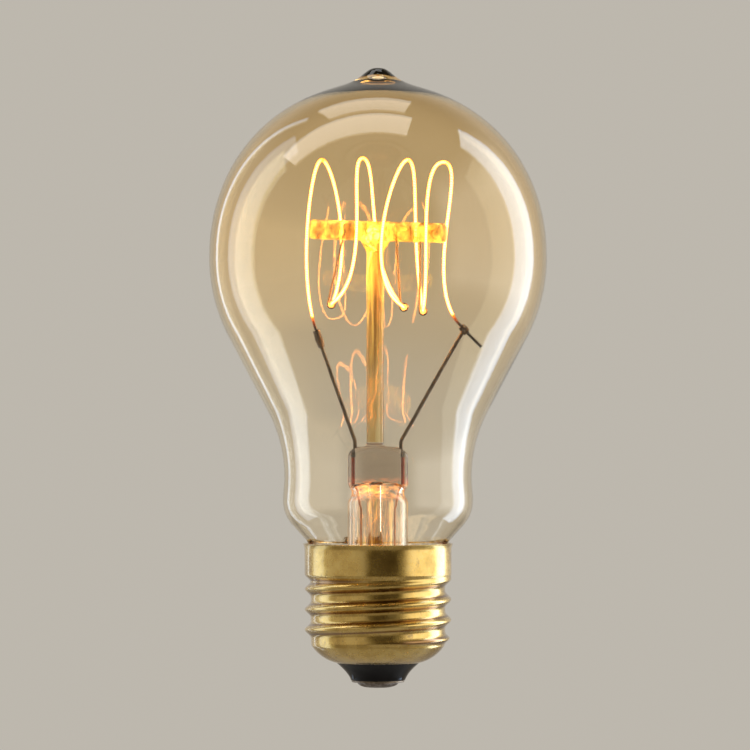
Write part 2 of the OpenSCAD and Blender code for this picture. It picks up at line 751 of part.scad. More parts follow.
bulb_envelope();
stem();
exhaust_tube();
centre_rod();
cross_bar();
support_hook_left();
support_hook_middle();
support_hook_right();
seal_wire_left();
seal_wire_right();
inner_lead_left();
inner_lead_right();
outer_lead_rim();
outer_lead_centre();
filament();
filament_clamp_left();
filament_clamp_right();
screw_shell();
capping_cement();
insulator();
contact_plate();
contact_solder();
rim_solder();
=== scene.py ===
from math import asin, atan2, ceil, cos, degrees, hypot, pi, radians, sin, tan

import bmesh
import bpy
import numpy as np
from mathutils import Matrix, Vector


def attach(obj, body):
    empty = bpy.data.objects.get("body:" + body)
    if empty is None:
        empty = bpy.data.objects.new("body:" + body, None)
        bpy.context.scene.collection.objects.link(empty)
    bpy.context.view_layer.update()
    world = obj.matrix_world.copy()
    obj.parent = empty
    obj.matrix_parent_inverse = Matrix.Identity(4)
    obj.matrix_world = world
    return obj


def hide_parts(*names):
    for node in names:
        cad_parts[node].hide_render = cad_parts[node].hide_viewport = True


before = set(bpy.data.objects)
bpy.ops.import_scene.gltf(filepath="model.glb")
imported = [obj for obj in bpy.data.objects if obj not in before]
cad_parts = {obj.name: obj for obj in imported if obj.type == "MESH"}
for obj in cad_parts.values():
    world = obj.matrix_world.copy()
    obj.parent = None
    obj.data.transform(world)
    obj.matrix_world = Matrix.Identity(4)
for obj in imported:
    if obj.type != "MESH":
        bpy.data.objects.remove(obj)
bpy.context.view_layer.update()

MM = 0.001

# Sizes in millimetres and degrees, as in the CAD source. +Z runs up the axis, and the front faces -Y.
AXIS_R = 0.001
BULB_R, DOME_RISE, BALL_Z = 30.0, 31.0, 76.2
TIP_H, TIP_R, TIP_INSIDE_H, TIP_INSIDE_R, TIP_POWER, DOME_POWER = 2.8, 3.15, 0.4, 0.6, 3, 2.1
NECK_R, NECK_SWELL, NECK_L, NECK_BLEND, BLEND_SHARE = 16.65, 0.25, 4.1, 25.0, 0.75
NECK_TURN, NECK_LEAN = 6.5, 42.0
GLASS_T, ENTRY_R, ENTRY_DROP, FOOT_TURN = 0.7, 1.5, 0.9, 3.0
THREAD_R, THREAD_DEPTH, PITCH = 13.025, 1.075, 3.629
SKIRT_R, CAP_H, SKIRT_L, RIM_FLARE, SHELL_T = 13.075, 25.6, 5.4, 0.3, 0.3
SHOULDER_R, SHOULDER_A0, SHOULDER_A1, LIP_R, LIP_Z = 7.2, 33.0, 77.0, 7.45, 4.4
PLATE_R, PLATE_T, BEAD_H, BEAD_R, BEAD_FLAT_R = 4.7, 0.3, 0.95, 3.8, 1.5
STEM_R, STEM_L, PRESS_L, PRESS_W, PRESS_T = 5.4, 13.0, 10.3, 10.7, 4.7
PINCH_H, WAIST, PRESS_POWER, PRESS_ROUND, ROUND_POWER, VAULT = 3.7, 0.7, 2.7, 2.2, 2.4, 1.3
ROOT_FILLET, ROOT_RISE = 0.45, 0.75
EXHAUST_R, EXHAUST_BORE_R, EXHAUST_TAIL = 1.6, 0.9, 9.0
ROD_R, ROD_X, BAR_R, BAR_L, BAR_TILT, BAR_Z = 1.55, -0.5, 1.75, 24.4, 1.7, 81.0
HOOK_D, LEAD_D, SEAL_D, TAIL_D, SEAL_X = 0.4, 0.7, 0.5, 0.4, 4.1
FILAMENT_D, LOOP_UP, LOOP_DOWN, CLAMP_DOWN, SWING = 0.6, 12.9, 13.5, 18.0, 5.4
CLAMP_D, CLAMP_L, PINCH_L, TAIL_L = 1.3, 3.1, 1.6, 3.6

SEAT_R = SKIRT_R - SHELL_T - 0.75
SEAL_Z = CAP_H - 6
PRESS_Z = SEAL_Z + STEM_L
PRESS_TOP = PRESS_Z + PRESS_L
CEILING = PRESS_Z + 2.8
TUBE_LOW = PRESS_Z - 4
ROD_TOP = BAR_Z - 3.8
ENTRY_Z = CAP_H - ENTRY_DROP
THREAD_Z0 = LIP_Z + SHOULDER_R * (sin(radians(SHOULDER_A1)) - sin(radians(SHOULDER_A0)))
THREAD_Z1 = CAP_H - SKIRT_L


# Curves and surfaces

def arc(cx, cy, r, a0, a1, n):
    """n + 1 points on an arc from angle a0 to a1, in degrees."""
    return [(cx + r * cos(radians(a0 + (a1 - a0) * i / n)), cy + r * sin(radians(a0 + (a1 - a0) * i / n)))
            for i in range(n + 1)]


def smooth(u):
    """u held between 0 and 1, with soft ends."""
    u = np.clip(u, 0, 1)
    return u * u * (3 - 2 * u)


def mix(a, b, u):
    return a + (b - a) * u


def unit(v):
    return v / np.linalg.norm(v)


def polar(r, angle, z):
    return np.array([r * cos(radians(angle)), r * sin(radians(angle)), z])


def build(name, points, faces, material, slot, sharp=40):
    """A smooth-shaded piece from points in millimetres, with its faces outward, in place of a CAD node."""
    mesh = bpy.data.meshes.new(name)
    mesh.from_pydata((np.asarray(points, float) * MM).tolist(), [], [list(map(int, f)) for f in faces])
    bm = bmesh.new()
    bm.from_mesh(mesh)
    bmesh.ops.remove_doubles(bm, verts=bm.verts, dist=1e-8)
    bmesh.ops.delete(bm, geom=[e for e in bm.edges if not e.link_faces], context="EDGES")
    if bm.calc_volume(signed=True) < 0:
        bmesh.ops.reverse_faces(bm, faces=bm.faces)
    bm.to_mesh(mesh)
    bm.free()
    mesh.shade_smooth()
    mesh.set_sharp_from_angle(angle=radians(sharp))
    obj = bpy.data.objects.new(name + "_look", mesh)
    bpy.context.scene.collection.objects.link(obj)
    return finish_piece(obj, material, name)


def finish_piece(obj, material, cad_node):
    """Gives the piece its material and slot, and lets it ride on the one body in place of a CAD node."""
    obj.data.materials.clear()
    obj.data.materials.append(material)
    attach(obj, "root")
    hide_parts(cad_node)
    return obj


def ring_faces(m, n):
    """Faces between m rings of n points each; outward where the rings run counter-clockwise and up."""
    return [(j * n + i, j * n + (i + 1) % n, (j + 1) * n + (i + 1) % n, (j + 1) * n + i)
            for j in range(m - 1) for i in range(n)]


def lathe(profile, n, cx=0.0, closed=True, wobble=None):
    """Points and faces of a profile (radius, height) turned in n steps about the axis through cx. Most
    profiles that reach the axis end in a tiny ring of radius AXIS_R. wobble gives the radii round a ring from
    its radius and height."""
    angles = np.arange(n) * 2 * pi / n
    prof = list(profile) + ([profile[0]] if closed else [])
    rings = []
    for r, z in prof:
        rr = np.full(n, r) if wobble is None else wobble(r, z, angles)
        rings.append(np.stack([cx + rr * np.cos(angles), rr * np.sin(angles), np.full(n, z)], 1))
    return np.concatenate(rings), ring_faces(len(prof), n)


def frames(path):
    """Unit tangents and two normals carried along a path without twist."""
    p = np.asarray(path, float)
    t = np.empty_like(p)
    t[1:-1] = p[2:] - p[:-2]
    t[0], t[-1] = p[1] - p[0], p[-1] - p[-2]
    t /= np.linalg.norm(t, axis=1)[:, None]
    a = np.empty_like(p)
    last = unit(np.cross(t[0], [0.36, 0.93, 0.1]))
    for i in range(len(p)):
        last = unit(last - t[i] * (last @ t[i]))
        a[i] = last
    return t, a, np.cross(t, a)


def tube(path, radius, sides=12, rounded_ends=True):
    """Points and faces of a round tube; radius is one value or one per path point."""
    p = np.asarray(path, float)
    r = np.broadcast_to(np.asarray(radius, float), len(p)).copy()
    if rounded_ends:
        (t0, t1), (r0, r1) = (unit(p[1] - p[0]), unit(p[-1] - p[-2])), (r[0], r[-1])
        steps, wider, depth = (5, 35, 65), 12, 0.6
        head = [p[0] + t0 * r0 * (1 - sin(radians(a))) * depth for a in steps]
        tail = [p[-1] - t1 * r1 * (1 - sin(radians(a))) * depth for a in steps[::-1]]
        p = np.concatenate([head, p[1:-1], tail])
        r = np.concatenate([[r0 * sin(radians(a + wider)) for a in steps], r[1:-1],
                            [r1 * sin(radians(a + wider)) for a in steps[::-1]]])
    t, a, b = frames(p)
    angles = np.arange(sides) * 2 * pi / sides
    c, s = np.cos(angles)[None, :, None], np.sin(angles)[None, :, None]
    around = a[:, None, :] * c + b[:, None, :] * s
    points = (p[:, None, :] + around * r[:, None, None]).reshape(-1, 3)
    faces = ring_faces(len(p), sides)
    faces.append(tuple(range(sides))[::-1])
    faces.append(tuple((len(p) - 1) * sides + i for i in range(sides)))
    return points, faces


def joined(*shapes):
    """The points and faces of several shapes as one."""
    points, faces, base = [], [], 0
    for p, f in shapes:
        points.append(np.asarray(p, float))
        faces += [tuple(base + i for i in face) for face in f]
        base += len(p)
    return np.concatenate(points), faces


def bent(corners, bends, step=6):
    """A path through corner points, with an arc of its own radius at each inner corner."""
    p = [np.asarray(c, float) for c in corners]
    out = [p[0]]
    for i in range(1, len(p) - 1):
        u, w = unit(p[i] - p[i - 1]), unit(p[i + 1] - p[i])
        turn = np.arccos(np.clip(u @ w, -1, 1))
        side = unit(u * cos(turn) - w)
        r = bends[i - 1]
        centre = p[i] - u * r * tan(turn / 2) - side * r
        n = max(1, ceil(degrees(turn) / step))
        out += [centre + r * (side * cos(turn * s / n) + u * sin(turn * s / n)) for s in range(n + 1)]
    return np.array(out + [p[-1]])


# Helpers for materials. mat is a material, or the world or a lamp, which have nodes too.

def material(name, **values):
    """A new material and its Principled shader; values set the shader's inputs, with _ for a space."""
    mat = bpy.data.materials.new(name)
    mat.use_nodes = True
    bsdf = mat.node_tree.nodes["Principled BSDF"]
    for key, value in values.items():
        bsdf.inputs[key.replace("_", " ")].default_value = value
    return mat, bsdf


def node(mat, kind, **values):
    """A new node; values set its properties, or its inputs where the name is an input's."""
    n = mat.node_tree.nodes.new("ShaderNode" + kind)
    for key, value in values.items():
        if hasattr(n, key):
            setattr(n, key, value)
        else:
            n.inputs[key].default_value = value
    return n


def link(mat, source, target):
    mat.node_tree.links.new(source, target)


def ramp(mat, source, stops):
    """The colour that stops of (value, colour) give for source."""
    n = node(mat, "ValToRGB")
    elements = n.color_ramp.elements
    while len(elements) < len(stops):
        elements.new(0.5)
    for e, (place, colour) in zip(elements, stops):
        e.position, e.color = place, (*colour, 1)
    link(mat, source, n.inputs["Fac"])
    return n.outputs["Color"]


def span(mat, source, low, high, to_low=0.0, to_high=1.0):
    """source from low to high, smoothly mapped onto to_low to to_high and held there outside."""
    n = node(mat, "MapRange", interpolation_type="SMOOTHSTEP")
    for i, v in enumerate((low, high, to_low, to_high)):
        n.inputs[i + 1].default_value = v
    link(mat, source, n.inputs[0])
    return n.outputs[0]


def blend(mat, fac, a, b, mode="MIX"):
    """Colour a mixed with b; each is an output or a colour, and fac is an output or a number."""
    n = node(mat, "Mix", data_type="RGBA", blend_type=mode)
    for source, socket in ((fac, n.inputs[0]), (a, n.inputs[6]), (b, n.inputs[7])):
        if hasattr(source, "links"):
            link(mat, source, socket)
        else:
            socket.default_value = source if isinstance(source, float) else (*source, 1)
    return n.outputs[2]


def maths(mat, kind, a, b=None):
    """The output of one step of arithmetic on outputs or numbers."""
    n = node(mat, "Math", operation=kind)
    for source, socket in ((a, n.inputs[0]), (b, n.inputs[1])):
        if source is None:
            continue
        if hasattr(source, "links"):
            link(mat, source, socket)
        else:
            socket.default_value = source
    return n.outputs[0]


def mixed(mat, fac, first, second):
    """Shader first mixed with shader second by fac; all three are outputs."""
    n = node(mat, "MixShader")
    for source, socket in zip((fac, first, second), n.inputs):
        link(mat, source, socket)
    return n.outputs[0]


def place(mat, scale=(1, 1, 1)):
    """The object's own coordinates, in metres, with each axis scaled."""
    coords = node(mat, "TexCoord").outputs["Object"]
    n = node(mat, "Mapping")
    n.inputs["Scale"].default_value = scale
    link(mat, coords, n.inputs["Vector"])
    return n.outputs["Vector"]


def noise(mat, vector, scale, detail, roughness=0.55, distortion=0.0):
    n = node(mat, "TexNoise", Scale=scale, Detail=detail, Roughness=roughness, Distortion=distortion)
    link(mat, vector, n.inputs["Vector"])
    return n.outputs["Fac"]


def bump(mat, height, strength, distance, normal=None):
    n = node(mat, "Bump", Strength=strength, Distance=distance)
    link(mat, height, n.inputs["Height"])
    if normal is not None:
        link(mat, normal, n.inputs["Normal"])
    return n.outputs["Normal"]


def axis_parts(mat):
    """The height and the distance from the axis, in metres."""
    n = node(mat, "SeparateXYZ")
    link(mat, node(mat, "TexCoord").outputs["Object"], n.inputs[0])
    x, y, z = n.outputs
    squares = maths(mat, "ADD", maths(mat, "MULTIPLY", x, x), maths(mat, "MULTIPLY", y, y))
    return z, maths(mat, "SQRT", squares)


def clear_glass(name, low, high, wave, wave_scale, depth, density):
    """Clear glass whose tint drifts from low to high, with the faint waves of blown glass. What light passes
    through more of it takes on the colour depth, by density."""
    mat, bsdf = material(name, Transmission_Weight=1.0, IOR=GLASS_IOR, Roughness=0.0)
    drift = noise(mat, place(mat), 60.0, 2.0)
    tint = ramp(mat, drift, [(0.3, low), (0.7, high)])
    height = noise(mat, place(mat, (1, 1, 0.45)), wave_scale, 1.5)
    link(mat, bump(mat, height, wave, 0.0006), bsdf.inputs["Normal"])
    volume = node(mat, "VolumeAbsorption", Color=(*depth, 1), Density=density)
    link(mat, volume.outputs[0], mat.node_tree.nodes["Material Output"].inputs["Volume"])
    link(mat, tint, bsdf.inputs["Base Color"])
    return mat, bsdf, tint


def amber_glass_material():
    """The envelope's glass. Its crown takes a painted warm tint that stands in for the filament's light on it.
    """
    mat, bsdf, tint = clear_glass("clear_glass", (0.985, 0.965, 0.93), (1.0, 0.985, 0.96), wave=0.02,
                                  wave_scale=45.0, depth=(0.95, 0.65, 0.0), density=ENVELOPE_DENSITY)
    z, _ = axis_parts(mat)
    # painted glow: the glass is tinted warmer towards the crown, in place of the filament's light
    at_crown = span(mat, z, *CROWN_PAINTED_GLOW)
    link(mat, blend(mat, at_crown, tint, (1.0, 0.91, 0.74), "MULTIPLY"), bsdf.inputs["Base Color"])
    return mat


def stem_glass_material():
    """The stem's glass, with painted light from the filament: painted glowing streaks in its tubes, and a
    painted glow at the hollow's ceiling.
    """
    mat, bsdf, _ = clear_glass("stem_glass", (0.95, 0.93, 0.88), (0.99, 0.97, 0.93), wave=0.06,
                               wave_scale=160.0, depth=(0.42, 0.28, 0.18), density=STEM_DENSITY)
    z, _ = axis_parts(mat)
    streaks = noise(mat, place(mat, (1, 1, 0.08)), 1300.0, 3.0, 0.6)
    lumps = noise(mat, place(mat, (0.5, 1, 1)), 900.0, 3.0, 0.6, 0.8)
    at_ceiling = maths(mat, "MULTIPLY", span(mat, z, *CEILING_LOW), span(mat, z, *CEILING_HIGH))
    in_tube = span(mat, z, *CEILING_LOW[::-1])
    seeds = maths(mat, "ADD", maths(mat, "MULTIPLY", lumps, at_ceiling),
                  maths(mat, "MULTIPLY", streaks, in_tube))
    # painted glow and painted reflections: emission in lumps at the hollow's ceiling and in streaks down the
    # tube, in place of the filament's light
    link(mat, ramp(mat, seeds, [(0.48, (0.70, 0.10, 0.006)), (0.58, (1.0, 0.30, 0.02)),
                                (0.68, (1.0, 0.72, 0.16))]), bsdf.inputs["Emission Color"])
    lit_ceiling = maths(mat, "MULTIPLY", span(mat, lumps, 0.48, 0.62), at_ceiling)
    lit_tube = maths(mat, "MULTIPLY", span(mat, streaks, 0.52, 0.66), in_tube)
    glow = maths(mat, "ADD", lit_ceiling, maths(mat, "MULTIPLY", lit_tube, TUBE_GLOW))
    link(mat, maths(mat, "MULTIPLY", glow, STEM_GLOW), bsdf.inputs["Emission Strength"])
    return mat


def lit_glass_material():
    """Glass of the rod and bar, with painted light from the filament: a yellow tint and a painted glow in
    lumps through the bar and streaks down the rod, less clear and brighter near the filament.
    """
    mat, bsdf = material("lit_glass", IOR=GLASS_IOR, Roughness=0.05)
    z, _ = axis_parts(mat)
    lumps = noise(mat, place(mat, (1, 1, 0.6)), 420.0, 4.0, 0.6, 0.6)
    streaks = noise(mat, place(mat, (1, 1, 0.03)), 1100.0, 3.0, 0.6)
    on_bar = span(mat, z, *BAR_START)
    on_rod = maths(mat, "SUBTRACT", 1.0, on_bar)
    seeds = maths(mat, "ADD", maths(mat, "MULTIPLY", lumps, on_bar),
                  maths(mat, "MULTIPLY", maths(mat, "SUBTRACT", streaks, 0.04), on_rod))
    near = span(mat, z, *NEAR_FILAMENT)
    # painted light: near the filament the glass turns less clear, shows its yellow base colour and glows, in
    # place of the filament's light scattered in it
    link(mat, ramp(mat, seeds, [(0.36, (0.62, 0.36, 0.08)), (0.54, (1.0, 0.88, 0.52))]),
         bsdf.inputs["Base Color"])
    link(mat, span(mat, near, 0.0, 1.0, 1.0, 0.72), bsdf.inputs["Transmission Weight"])
    link(mat, ramp(mat, seeds, [(0.38, (0.80, 0.16, 0.004)), (0.5, (1.0, 0.46, 0.012)),
                                (0.62, (1.0, 0.80, 0.08))]), bsdf.inputs["Emission Color"])
    glow = maths(mat, "MULTIPLY", span(mat, seeds, 0.4, 0.62, 0.1, 1.0), near)
    link(mat, glow, bsdf.inputs["Emission Strength"])
    link(mat, bump(mat, seeds, 0.2, 0.0004), bsdf.inputs["Normal"])
    return mat


def brass_material():
    """Lacquered brass sheet, stained in blotches, with a dark brown-red line on the thread's flanks."""
    mat, bsdf = material("brass", Metallic=1.0, Coat_Weight=1.0, Coat_Roughness=0.1)
    z, r = axis_parts(mat)
    blotch = noise(mat, place(mat), 260.0, 6.0, 0.62)
    stain = noise(mat, place(mat, (1, 1, 0.55)), 620.0, 5.0, 0.7)
    clean = ramp(mat, blotch, [(0.32, (0.50, 0.31, 0.06)), (0.5, (0.70, 0.46, 0.115)),
                               (0.7, (0.82, 0.58, 0.18))])
    spots = span(mat, stain, 0.56, 0.72)
    stained = blend(mat, maths(mat, "MULTIPLY", spots, 0.55), clean, (0.30, 0.19, 0.07))
    # a dark brown-red line round the middle of the thread's flanks, within the thread's height
    in_thread = maths(mat, "MULTIPLY", span(mat, z, *THREAD_LOW), span(mat, z, *THREAD_HIGH))
    flank = maths(mat, "MULTIPLY", span(mat, r, *FLANK_INNER), span(mat, r, *FLANK_OUTER))
    line = maths(mat, "MULTIPLY", maths(mat, "MULTIPLY", flank, in_thread), 0.75)
    link(mat, blend(mat, line, stained, (0.19, 0.06, 0.015)), bsdf.inputs["Base Color"])
    lines = noise(mat, place(mat, (40, 40, 9000)), 1.0, 3.0, 0.7)
    rough = maths(mat, "ADD", span(mat, blotch, 0.3, 0.75, 0.17, 0.30), maths(mat, "MULTIPLY", lines, 0.08))
    rough = maths(mat, "ADD", rough, maths(mat, "MULTIPLY", spots, 0.14))
    link(mat, rough, bsdf.inputs["Roughness"])
    fine = bump(mat, lines, 0.12, 0.00004)
    link(mat, bump(mat, stain, 0.10, 0.00008, fine), bsdf.inputs["Normal"])
    return mat


def wire_material(name, low, high, roughness, metallic=1.0):
    """Drawn wire: streaks along it and a slightly uneven oxide colour."""
    mat, bsdf = material(name, Metallic=metallic)
    drift = noise(mat, place(mat, (1, 1, 0.3)), 900.0, 5.0, 0.65)
    link(mat, ramp(mat, drift, [(0.32, low), (0.68, high)]), bsdf.inputs["Base Color"])
    link(mat, span(mat, drift, 0.3, 0.7, roughness - 0.08, roughness + 0.1), bsdf.inputs["Roughness"])
    scratches = noise(mat, place(mat, (1, 1, 0.15)), 4000.0, 3.0)
    link(mat, bump(mat, scratches, 0.15, 0.00003), bsdf.inputs["Normal"])
    return mat


def filament_material():
    """Tungsten coil: grey where it is cold, through orange to a yellow-white glow, by each point's heat."""
    mat, bsdf = material("tungsten", Metallic=1.0, Roughness=0.45, Emission_Strength=GLOW)
    grain = noise(mat, place(mat), 3000.0, 3.0)
    link(mat, ramp(mat, grain, [(0.3, (0.10, 0.09, 0.085)), (0.7, (0.20, 0.19, 0.18))]),
         bsdf.inputs["Base Color"])
    heat = node(mat, "Attribute", attribute_name="filament_heat").outputs["Fac"]
    glow = ramp(mat, heat, [(0.0, (0.0, 0.0, 0.0)), (0.3, (0.004, 0.0005, 0.0)),
                            (0.6, (0.025, 0.006, 0.0003)), (1.0, (1.0, 0.42, 0.10))])
    link(mat, glow, bsdf.inputs["Emission Color"])
    return mat


def solder_material(name, low, middle, high, metallic):
    """Solder: cloudy where it cooled slowly, and brighter in patches."""
    mat, bsdf = material(name, Metallic=metallic)
    drift = noise(mat, place(mat), 1400.0, 6.0, 0.65)
    link(mat, ramp(mat, drift, [(0.3, low), (0.55, middle), (0.75, high)]), bsdf.inputs["Base Color"])
    link(mat, span(mat, drift, 0.3, 0.7, 0.55, 0.3), bsdf.inputs["Roughness"])
    link(mat, bump(mat, drift, 0.35, 0.00015), bsdf.inputs["Normal"])
    return mat


def black_glass_material():
    """The insulator's black glass, a little wavy."""
    mat, bsdf = material("black_glass", Specular_IOR_Level=0.22)
    drift = noise(mat, place(mat), 500.0, 5.0, 0.6)
    link(mat, ramp(mat, drift, [(0.3, (0.002, 0.002, 0.002)), (0.7, (0.008, 0.006, 0.006))]),
         bsdf.inputs["Base Color"])
    link(mat, span(mat, drift, 0.3, 0.75, 0.06, 0.22), bsdf.inputs["Roughness"])
    link(mat, bump(mat, noise(mat, place(mat), 900.0, 3.0), 0.25, 0.00012), bsdf.inputs["Normal"])
    return mat


def cement_material():
    """Baked cement, grainy and matt."""
    mat, bsdf = material("cement", Roughness=0.9)
    grain = noise(mat, place(mat), 2200.0, 8.0, 0.7)
    link(mat, ramp(mat, grain, [(0.3, (0.30, 0.13, 0.07)), (0.55, (0.47, 0.24, 0.13)),
                                (0.8, (0.62, 0.38, 0.24))]), bsdf.inputs["Base Color"])
    link(mat, bump(mat, grain, 0.6, 0.0002), bsdf.inputs["Normal"])
    return mat


GLASS_IOR = 1.5
GLOW = 160.0
ENVELOPE_DENSITY, STEM_DENSITY, STEM_GLOW, TUBE_GLOW = 170.0, 130.0, 0.6, 0.6

# Where a look starts and where it is full, in metres: heights, and for the flanks distances from the axis
CROWN_PAINTED_GLOW, NEAR_FILAMENT, BAR_START = (0.045, 0.088), (0.052, 0.079), (0.0765, 0.0790)
CEILING_LOW, CEILING_HIGH = (0.0325, 0.0345), (0.0378, 0.0358)
THREAD_LOW, THREAD_HIGH = (0.0066, 0.0082), (0.0212, 0.0198)
FLANK_INNER, FLANK_OUTER = (0.01212, 0.01228), (0.01262, 0.01244)

MAT = {
    "clear_glass": amber_glass_material(),
    "stem_glass": stem_glass_material(),
    "lit_glass": lit_glass_material(),
    "brass": brass_material(),
    "nickel_wire": wire_material("nickel_wire", (0.11, 0.08, 0.06), (0.32, 0.26, 0.20), 0.38),
    "seal_wire": wire_material("seal_wire", (0.42, 0.04, 0.015), (0.66, 0.12, 0.04), 0.4, 0.6),
    "copper_lead": wire_material("copper_lead", (0.55, 0.24, 0.12), (0.82, 0.46, 0.28), 0.35),
    "tungsten": filament_material(),
    "solder": solder_material("solder", (0.12, 0.09, 0.075), (0.26, 0.22, 0.19), (0.44, 0.41, 0.37), 1.0),
    "rim_solder": solder_material("rim_solder", (0.50, 0.42, 0.30), (0.66, 0.58, 0.45), (0.82, 0.76, 0.64),
                                  0.45),
    "tinned_brass": wire_material("tinned_brass", (0.14, 0.10, 0.07), (0.36, 0.29, 0.21), 0.42),
    "black_glass": black_glass_material(),
    "cement": cement_material(),
}


# Glass envelope

def envelope_values():
    """The neck's radius and height at its foot, its top, and the radius and end angle of the blend above."""
    foot_r = NECK_R + NECK_SWELL
    lean = radians(NECK_LEAN)
    x0 = SEAT_R + ENTRY_R * (1 - cos(lean))
    x1 = foot_r - NECK_TURN * (1 - cos(lean))
    foot_z = ENTRY_Z + ENTRY_R * sin(lean) + (x1 - x0) / tan(lean) + NECK_TURN * sin(lean)
    neck_z = foot_z + NECK_L
    rise = BALL_Z - neck_z
    largest = (NECK_R ** 2 + rise ** 2 - BULB_R ** 2) / (2 * (BULB_R - NECK_R))
    blend_r = min(NECK_BLEND, BLEND_SHARE * largest)
    slope = degrees(asin((BULB_R + blend_r) / hypot(NECK_R + blend_r, rise)) - atan2(NECK_R + blend_r, rise))
    return foot_r, foot_z, neck_z, blend_r, slope


def dome(x, t):
    """The height of the crown with its tip, at x from the axis and t inside the outer surface."""
    body = (DOME_RISE - t) * (1 - min(1, x / (BULB_R - t)) ** DOME_POWER) ** (1 / DOME_POWER)
    tip_h, tip_r = (TIP_INSIDE_H * TIP_H, TIP_INSIDE_R * TIP_R) if t > 0 else (TIP_H, TIP_R)
    return BALL_Z + body + tip_h / (1 + (x / tip_r) ** TIP_POWER)


def glass_line(t):
    """The glass from its bottom edge inside the cap to the tip, t inside the outer surface."""
    foot_r, foot_z, neck_z, blend_r, slope = envelope_values()
    line = arc(SEAT_R - FOOT_TURN, SEAL_Z + FOOT_TURN, FOOT_TURN - t, -90, 0, 10)
    line += arc(SEAT_R + ENTRY_R, ENTRY_Z, ENTRY_R + t, 180, 180 - NECK_LEAN, 8)
    line += arc(foot_r - NECK_TURN, foot_z, NECK_TURN - t, -NECK_LEAN, 0, 14)
    line += [(NECK_R - t + NECK_SWELL * (1 + cos(pi * u)) / 2, mix(foot_z, neck_z, u))
             for u in np.linspace(0, 1, 9)[1:-1]]
    line += arc(NECK_R + blend_r, neck_z, blend_r + t, 180, 180 - slope, 16)
    line += arc(0, BALL_Z, BULB_R - t, -slope, 0, 20)[1:]
    across = [(BULB_R - t) * cos(radians(a)) ** (2 / DOME_POWER) for a in np.arange(3, 78, 2.5)]
    across += list(np.linspace(across[-1], 0, 44)[1:])
    return line + [(x, dome(x, t)) for x in across]


build("bulb_envelope", *lathe(glass_line(0) + glass_line(GLASS_T)[::-1], 192), MAT["clear_glass"],
      "clear_glass", sharp=60)


# Stem: one skin, from the ceiling of its hollow down and round the flare's edge, and up to the rod's root

def superellipse(a, b, e, cx, z, n):
    """n points of a flat ring with half-widths a and b; e is 2 for an ellipse, and more for a squarer one."""
    angles = np.arange(n) * 2 * pi / n
    c, s = np.cos(angles), np.sin(angles)
    return np.stack([cx + a * np.sign(c) * np.abs(c) ** (2 / e), b * np.sign(s) * np.abs(s) ** (2 / e),
                     np.full(n, z)], 1)


def press_ring(z, t, n):
    """The tube or press at height z, t inside its surface: round below, and pinched flat above."""
    u = (z - PRESS_Z) / PINCH_H
    flat = smooth(u)
    a = mix(STEM_R, PRESS_W / 2, flat) - (WAIST * sin(pi * u) ** 2 if 0 < u < 1 else 0) - t
    b = mix(STEM_R, PRESS_T / 2, flat) - t
    return superellipse(a, b, mix(2, PRESS_POWER, flat), 0, z, n)


def stem_shape(n=128):
    flare_r = SEAT_R - FOOT_TURN - STEM_R

    def flare(t):
        return [superellipse(r, r, 2, 0, z, n) for r, z in
                arc(STEM_R + flare_r, SEAL_Z + GLASS_T + flare_r, flare_r + t, 270, 180, 16)]

    round_z, root_r = PRESS_TOP - PRESS_ROUND, ROD_R + ROOT_FILLET
    outer = flare(0) + [press_ring(z, 0, n) for z in np.linspace(TUBE_LOW, round_z, 60)]
    for s in np.linspace(0.06, 1, 22):
        close = (1 - s ** ROUND_POWER) ** (1 / ROUND_POWER)
        outer.append(superellipse(mix(root_r, PRESS_W / 2, close), mix(root_r, PRESS_T / 2, close),
                                  mix(2, PRESS_POWER, close), ROD_X * (1 - close),
                                  round_z + s * PRESS_ROUND, n))
    for s in np.linspace(0.15, 1, 7):
        r = ROD_R + ROOT_FILLET * (1 - sin(s * pi / 2))
        outer.append(superellipse(r, r, 2, ROD_X, PRESS_TOP + ROOT_RISE * (1 - cos(s * pi / 2)), n))
    inner = flare(GLASS_T) + [press_ring(z, GLASS_T, n) for z in np.linspace(TUBE_LOW, CEILING, 24)]
    for s in np.linspace(0.1, 1, 12):
        ring = press_ring(CEILING, GLASS_T, n)
        ring[:, :2] *= cos(s * pi / 2)
        ring[:, 2] = CEILING + VAULT * sin(s * pi / 2)
        inner.append(ring)
    rings = inner[::-1] + outer
    return np.concatenate(rings), ring_faces(len(rings), n)


build("stem", *stem_shape(), MAT["stem_glass"], "stem_glass", sharp=55)


def exhaust_shape():
    """The exhaust tube, open at the top and tipped off at the bottom, where its bore narrows."""
    bottom = SEAL_Z - EXHAUST_TAIL
    top = CEILING + 0.4
    tip, bore_end, narrowing, narrow_r = bottom + 0.4, bottom + 2.0, 1.4, 0.3
    profile = [(AXIS_R, tip)] + arc(0, bottom + 2 * EXHAUST_R, EXHAUST_R, -60, 0, 8)
    profile += [(EXHAUST_R, top), (EXHAUST_BORE_R, top), (EXHAUST_BORE_R, bore_end + narrowing),
                (narrow_r, bore_end + 0.1), (AXIS_R, bore_end)]
    return lathe(profile, 64, ROD_X)


build("exhaust_tube", *exhaust_shape(), MAT["stem_glass"], "stem_glass", sharp=50)


# Centre rod and the cross bar melted onto it. Stem, rod and bar are open where they meet, as one glass.

def rod_shape(rings=80):
    """The rod, a little uneven between its two ends."""
    profile = [(ROD_R * (1 + 0.018 * sin(z * 0.55) + 0.012 * sin(z * 1.31)), z)
               for z in np.linspace(PRESS_TOP + ROOT_RISE, ROD_TOP, rings)]
    for end in (0, -1):
        profile[end] = (ROD_R, profile[end][1])
    return lathe(profile, 64, ROD_X, closed=False)


build("centre_rod", *rod_shape(), MAT["lit_glass"], "stem_glass")


